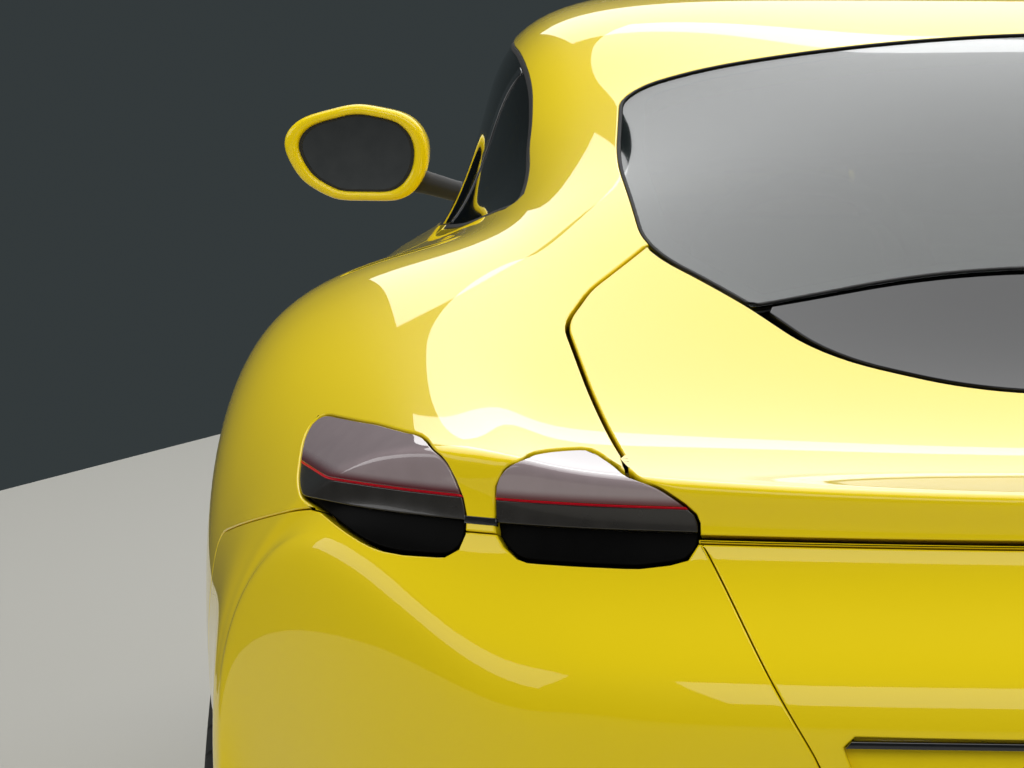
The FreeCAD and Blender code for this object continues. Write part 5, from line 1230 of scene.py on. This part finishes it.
# Dashboard: a padded top over a lower panel, with a hood over the dials, two screens, four air vents and the
# console along the tunnel. It is screwed to the wall behind the engine.
screen_glass = surface_material("dark_display", (0.006, 0.007, 0.009), (0.010, 0.012, 0.015), (0.05, 0.1),
                                coat=1.0)
dash_pieces = [
    # name, outline in x and z, y from, y to, material, slot, bevel, bevel segments
    ("dash_top", [(697, 800), (520, 790, 30), (432, 812, 30), (394, 852, 34), (452, 892, 60), (512, 866, 60),
                  (697, 858)], -755, 755, leather, "leather", 0.004, 2),
    ("dash_lower_panel", [(697, 624), (476, 644, 30), (428, 760, 50), (440, 800, 10), (697, 798)],
     -750, 750, black_trim, "black_trim", 0.006, 2),
    ("dial_hood", [(480, 838), (398, 858, 16), (404, 928, 26), (510, 912, 50), (545, 855)],
     SEAT_Y - 168, SEAT_Y + 168, leather, "leather", 0.012, 4),
    ("dial_display", [(393, 866), (397, 866), (402.5, 918), (399, 918)],
     SEAT_Y - 140, SEAT_Y + 140, screen_glass, "black_gloss", 0.001, 2),
    ("centre_display", [(412, 752, 2), (418, 752, 2), (398, 842, 2), (392, 842, 2)],
     -118, 118, screen_glass, "black_gloss", 0.0012, 2),
    ("console", [(500, 344), (500, 700, 20), (440, 690, 60), (300, 520, 80), (-420, 480, 60), (-516, 344)],
     -104, 104, leather, "leather", 0.014, 4),
    ("console_lid", [(-120, 498, 4), (-120, 508, 6), (-400, 494, 8), (-410, 482, 4)],
     -88, 88, leather, "leather", 0.005, 2),
]
for name, corners, low, high, material, slot, bevel, segments in dash_pieces:
    finished(name, slab(corners, "side", low, high), material, "body", slot, "dashboard", bevel=bevel,
             segments=segments)
for y in (-660, -170, 170, 660):
    for k in range(5):
        z = 770 + 9 * k
        blade = slab([(430, z, 1), (430, z + 3, 1), (408, z + 1, 1), (408, z - 2, 1)], "side", y - 42, y + 42)
        finished("vent_blade_%d_%d" % (y, k), blade, black_gloss, "body", "black_gloss", "dashboard")
selector = [(0.0, 0.0005), (0.0, 0.020), (0.02, 0.013), (0.05, 0.012), (0.066, 0.021), (0.085, 0.019),
            (0.090, 0.0005)]
finished("gear_selector", spun(selector, (0.12, 0.0, 0.512), (0.2, 0, 1), 28, closed=False), black_gloss,
         "body", "black_gloss", "dashboard")

# Steering wheel: a leather rim on three alloy spokes with a padded boss.
# It turns on the column that comes through the dashboard.
WHEEL_HUB = np.array((330.0, SEAT_Y, 812.0)) * MM
COLUMN_TILT = math.radians(21.0)
column_turn = np.array(((math.cos(COLUMN_TILT), 0, math.sin(COLUMN_TILT)), (0, 1, 0),
                        (-math.sin(COLUMN_TILT), 0, math.cos(COLUMN_TILT))))


def on_column(shape):
    points, faces = shape
    return np.asarray(points, float) @ column_turn.T + WHEEL_HUB, faces


RIM_TURN_RADIUS = 0.178
rim_section = [(0.014 * math.cos(a), RIM_TURN_RADIUS + 0.0165 * math.sin(a))
               for a in np.linspace(0, 2 * math.pi, 17)[:-1]]
rim = on_column(spun(rim_section, (0, 0, 0), (1, 0, 0), 96))
finished("steering_rim", rim, leather, "steering_wheel", "leather", "steering_wheel")
boss = [(-0.012, 0.0005), (-0.012, 0.030), (-0.008, 0.048), (0.006, 0.056), (0.028, 0.052), (0.034, 0.032),
        (0.115, 0.030), (0.115, 0.0005)]
finished("steering_boss", on_column(spun(boss, (0, 0, 0), (1, 0, 0), 48, closed=False)), leather,
         "steering_wheel", "leather", "steering_wheel")
for k, angle in enumerate((0.0, math.pi, -0.5 * math.pi)):
    rings = []
    for radius, half, depth in ((40, 24, 9), (80, 17, 8), (130, 13, 6), (172, 15, 7)):
        ring = [(-depth, -half + 3), (-depth, half - 3), (-depth + 3, half), (depth - 3, half),
                (depth, half - 3), (depth, -half + 3), (depth - 3, -half), (-depth + 3, -half)]
        rings.append(np.array([(4 + a, radius * math.cos(angle) - b * math.sin(angle),
                                radius * math.sin(angle) + b * math.cos(angle)) for a, b in ring]) * MM)
    finished("steering_spoke_%d" % k, on_column(lofted(rings)), alloy, "steering_wheel", "alloy",
             "steering_wheel", bevel=0.0015)

# Rear valance: a black moulded diffuser with six fins under the tail.
# It is screwed below the bumper between the tailpipes.
tray = slab([(-1745, 150), (-2250, 350, 6), (-2262, 368, 4), (-2240, 371.6, 4), (-1745, 172)], "side",
            -399.6, 399.6)
finished("diffuser_tray", tray, black_trim, "body", "black_trim", "diffuser", bevel=0.003)
for k in range(6):
    y = -370 + 148 * k
    fin = slab([(-1800, 165), (-2252, 352, 8), (-2256, 214, 20), (-1900, 150, 30)], "side", y - 5, y + 5)
    finished("diffuser_fin_%d" % k, fin, black_trim, "body", "black_trim", "diffuser", bevel=0.0022)

# Tailpipe trims: four polished steel sleeves with rolled lips.
# They are pressed over the exhaust's ends.
chrome = surface_material("bright_metal", (0.55, 0.56, 0.58), (0.66, 0.67, 0.69), (0.08, 0.16), metallic=1.0)
for side, turn in SIDES:
    for k, y in enumerate((478.0, 590.0)):
        sleeve = [(-0.12, 0.0475), (0.0, 0.0475), (0.005, 0.0465), (0.007, 0.044), (0.005, 0.0415),
                  (0.0, 0.0405), (-0.065, 0.0405), (-0.068, 0.0405), (-0.068, 0.0462), (-0.12, 0.0462)]
        trim = spun(sleeve, (-2.238, turn * y * MM, 0.318), (-1, 0, 0), 72)
        finished("tailpipe_trim_%s_%d" % (side, k), trim, chrome, "body", "exhaust")

# Number plate place: a sunk painted back, left bare.
# The slot of the plate light runs along its top.
pocket_line = outline(PLATE_POCKET, "rear")
pocket_middle = pocket_line.mean(0)
pocket_wide = (pocket_line - pocket_middle) * 1.015 + pocket_middle
back = [np.column_stack((np.full(len(pocket_wide), x), pocket_wide)) for x in (-2.3135, -2.3055)]
finished("plate_pocket_back", lofted(back), paint, "body", "paint", "plate_panel", bevel=0.0008)
light_slot = slab([(-268, 683), (-262, 690, 3), (262, 690, 3), (268, 683)], "rear", -2326, -2312)
finished("plate_light_slot", light_slot, black_gloss, "body", "black_gloss", "plate_panel", bevel=0.001)

# Sill covers: black mouldings along the lower edge between the wheels.
# They are clipped over the sill boxes.
for side, turn in SIDES:
    low, high = sorted((turn * 800, turn * 893))
    cover = slab([(925, 149, 8), (925, 276, 10), (-925, 276, 10), (-925, 149, 8)], "side", low, high)
    finished("sill_cover_" + side, cover, black_trim, "body", "black_trim", bevel=0.006)

# Everything that stays as it was built: floor, suspension, brakes, engine block, liners and steering gear,
# each with a finish of its own.
steel = surface_material("machined_steel", (0.34, 0.34, 0.35), (0.46, 0.46, 0.47), (0.25, 0.4), metallic=1.0,
                         bump=0.1, bump_scale=300.0)
iron = surface_material("cast_iron", (0.05, 0.05, 0.052), (0.085, 0.083, 0.08), (0.5, 0.7), metallic=0.6,
                        bump=0.5, bump_scale=160.0)
pipe_steel = surface_material("pipe_steel", (0.30, 0.28, 0.25), (0.42, 0.39, 0.34), (0.25, 0.4),
                              metallic=1.0, bump=0.08, bump_scale=200.0)
underbody = surface_material("underbody_coat", (0.016, 0.016, 0.017), (0.028, 0.028, 0.029), (0.7, 0.85),
                             bump=0.5, bump_scale=220.0)
carpet = surface_material("cabin_carpet", (0.020, 0.020, 0.021), (0.034, 0.034, 0.036), (0.9, 0.98),
                          bump=0.3, bump_scale=900.0)
finishes = {"paint": paint, "glass": tinted_glass, "black_gloss": black_gloss, "black_trim": underbody,
            "lamp_red": red_line, "lamp_clear": clear_lens, "tyre": tyre_rubber, "alloy": alloy,
            "steel": steel, "iron": iron, "exhaust": pipe_steel, "leather": leather, "structure": carpet}
for name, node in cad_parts.items():
    for index, slot in enumerate(node.data.materials):
        wanted = next((key for key in finishes if slot and slot.name.startswith(key)), "structure")
        node.data.materials[index] = finishes[wanted]
        node.material_slots[index].material = finishes[wanted]
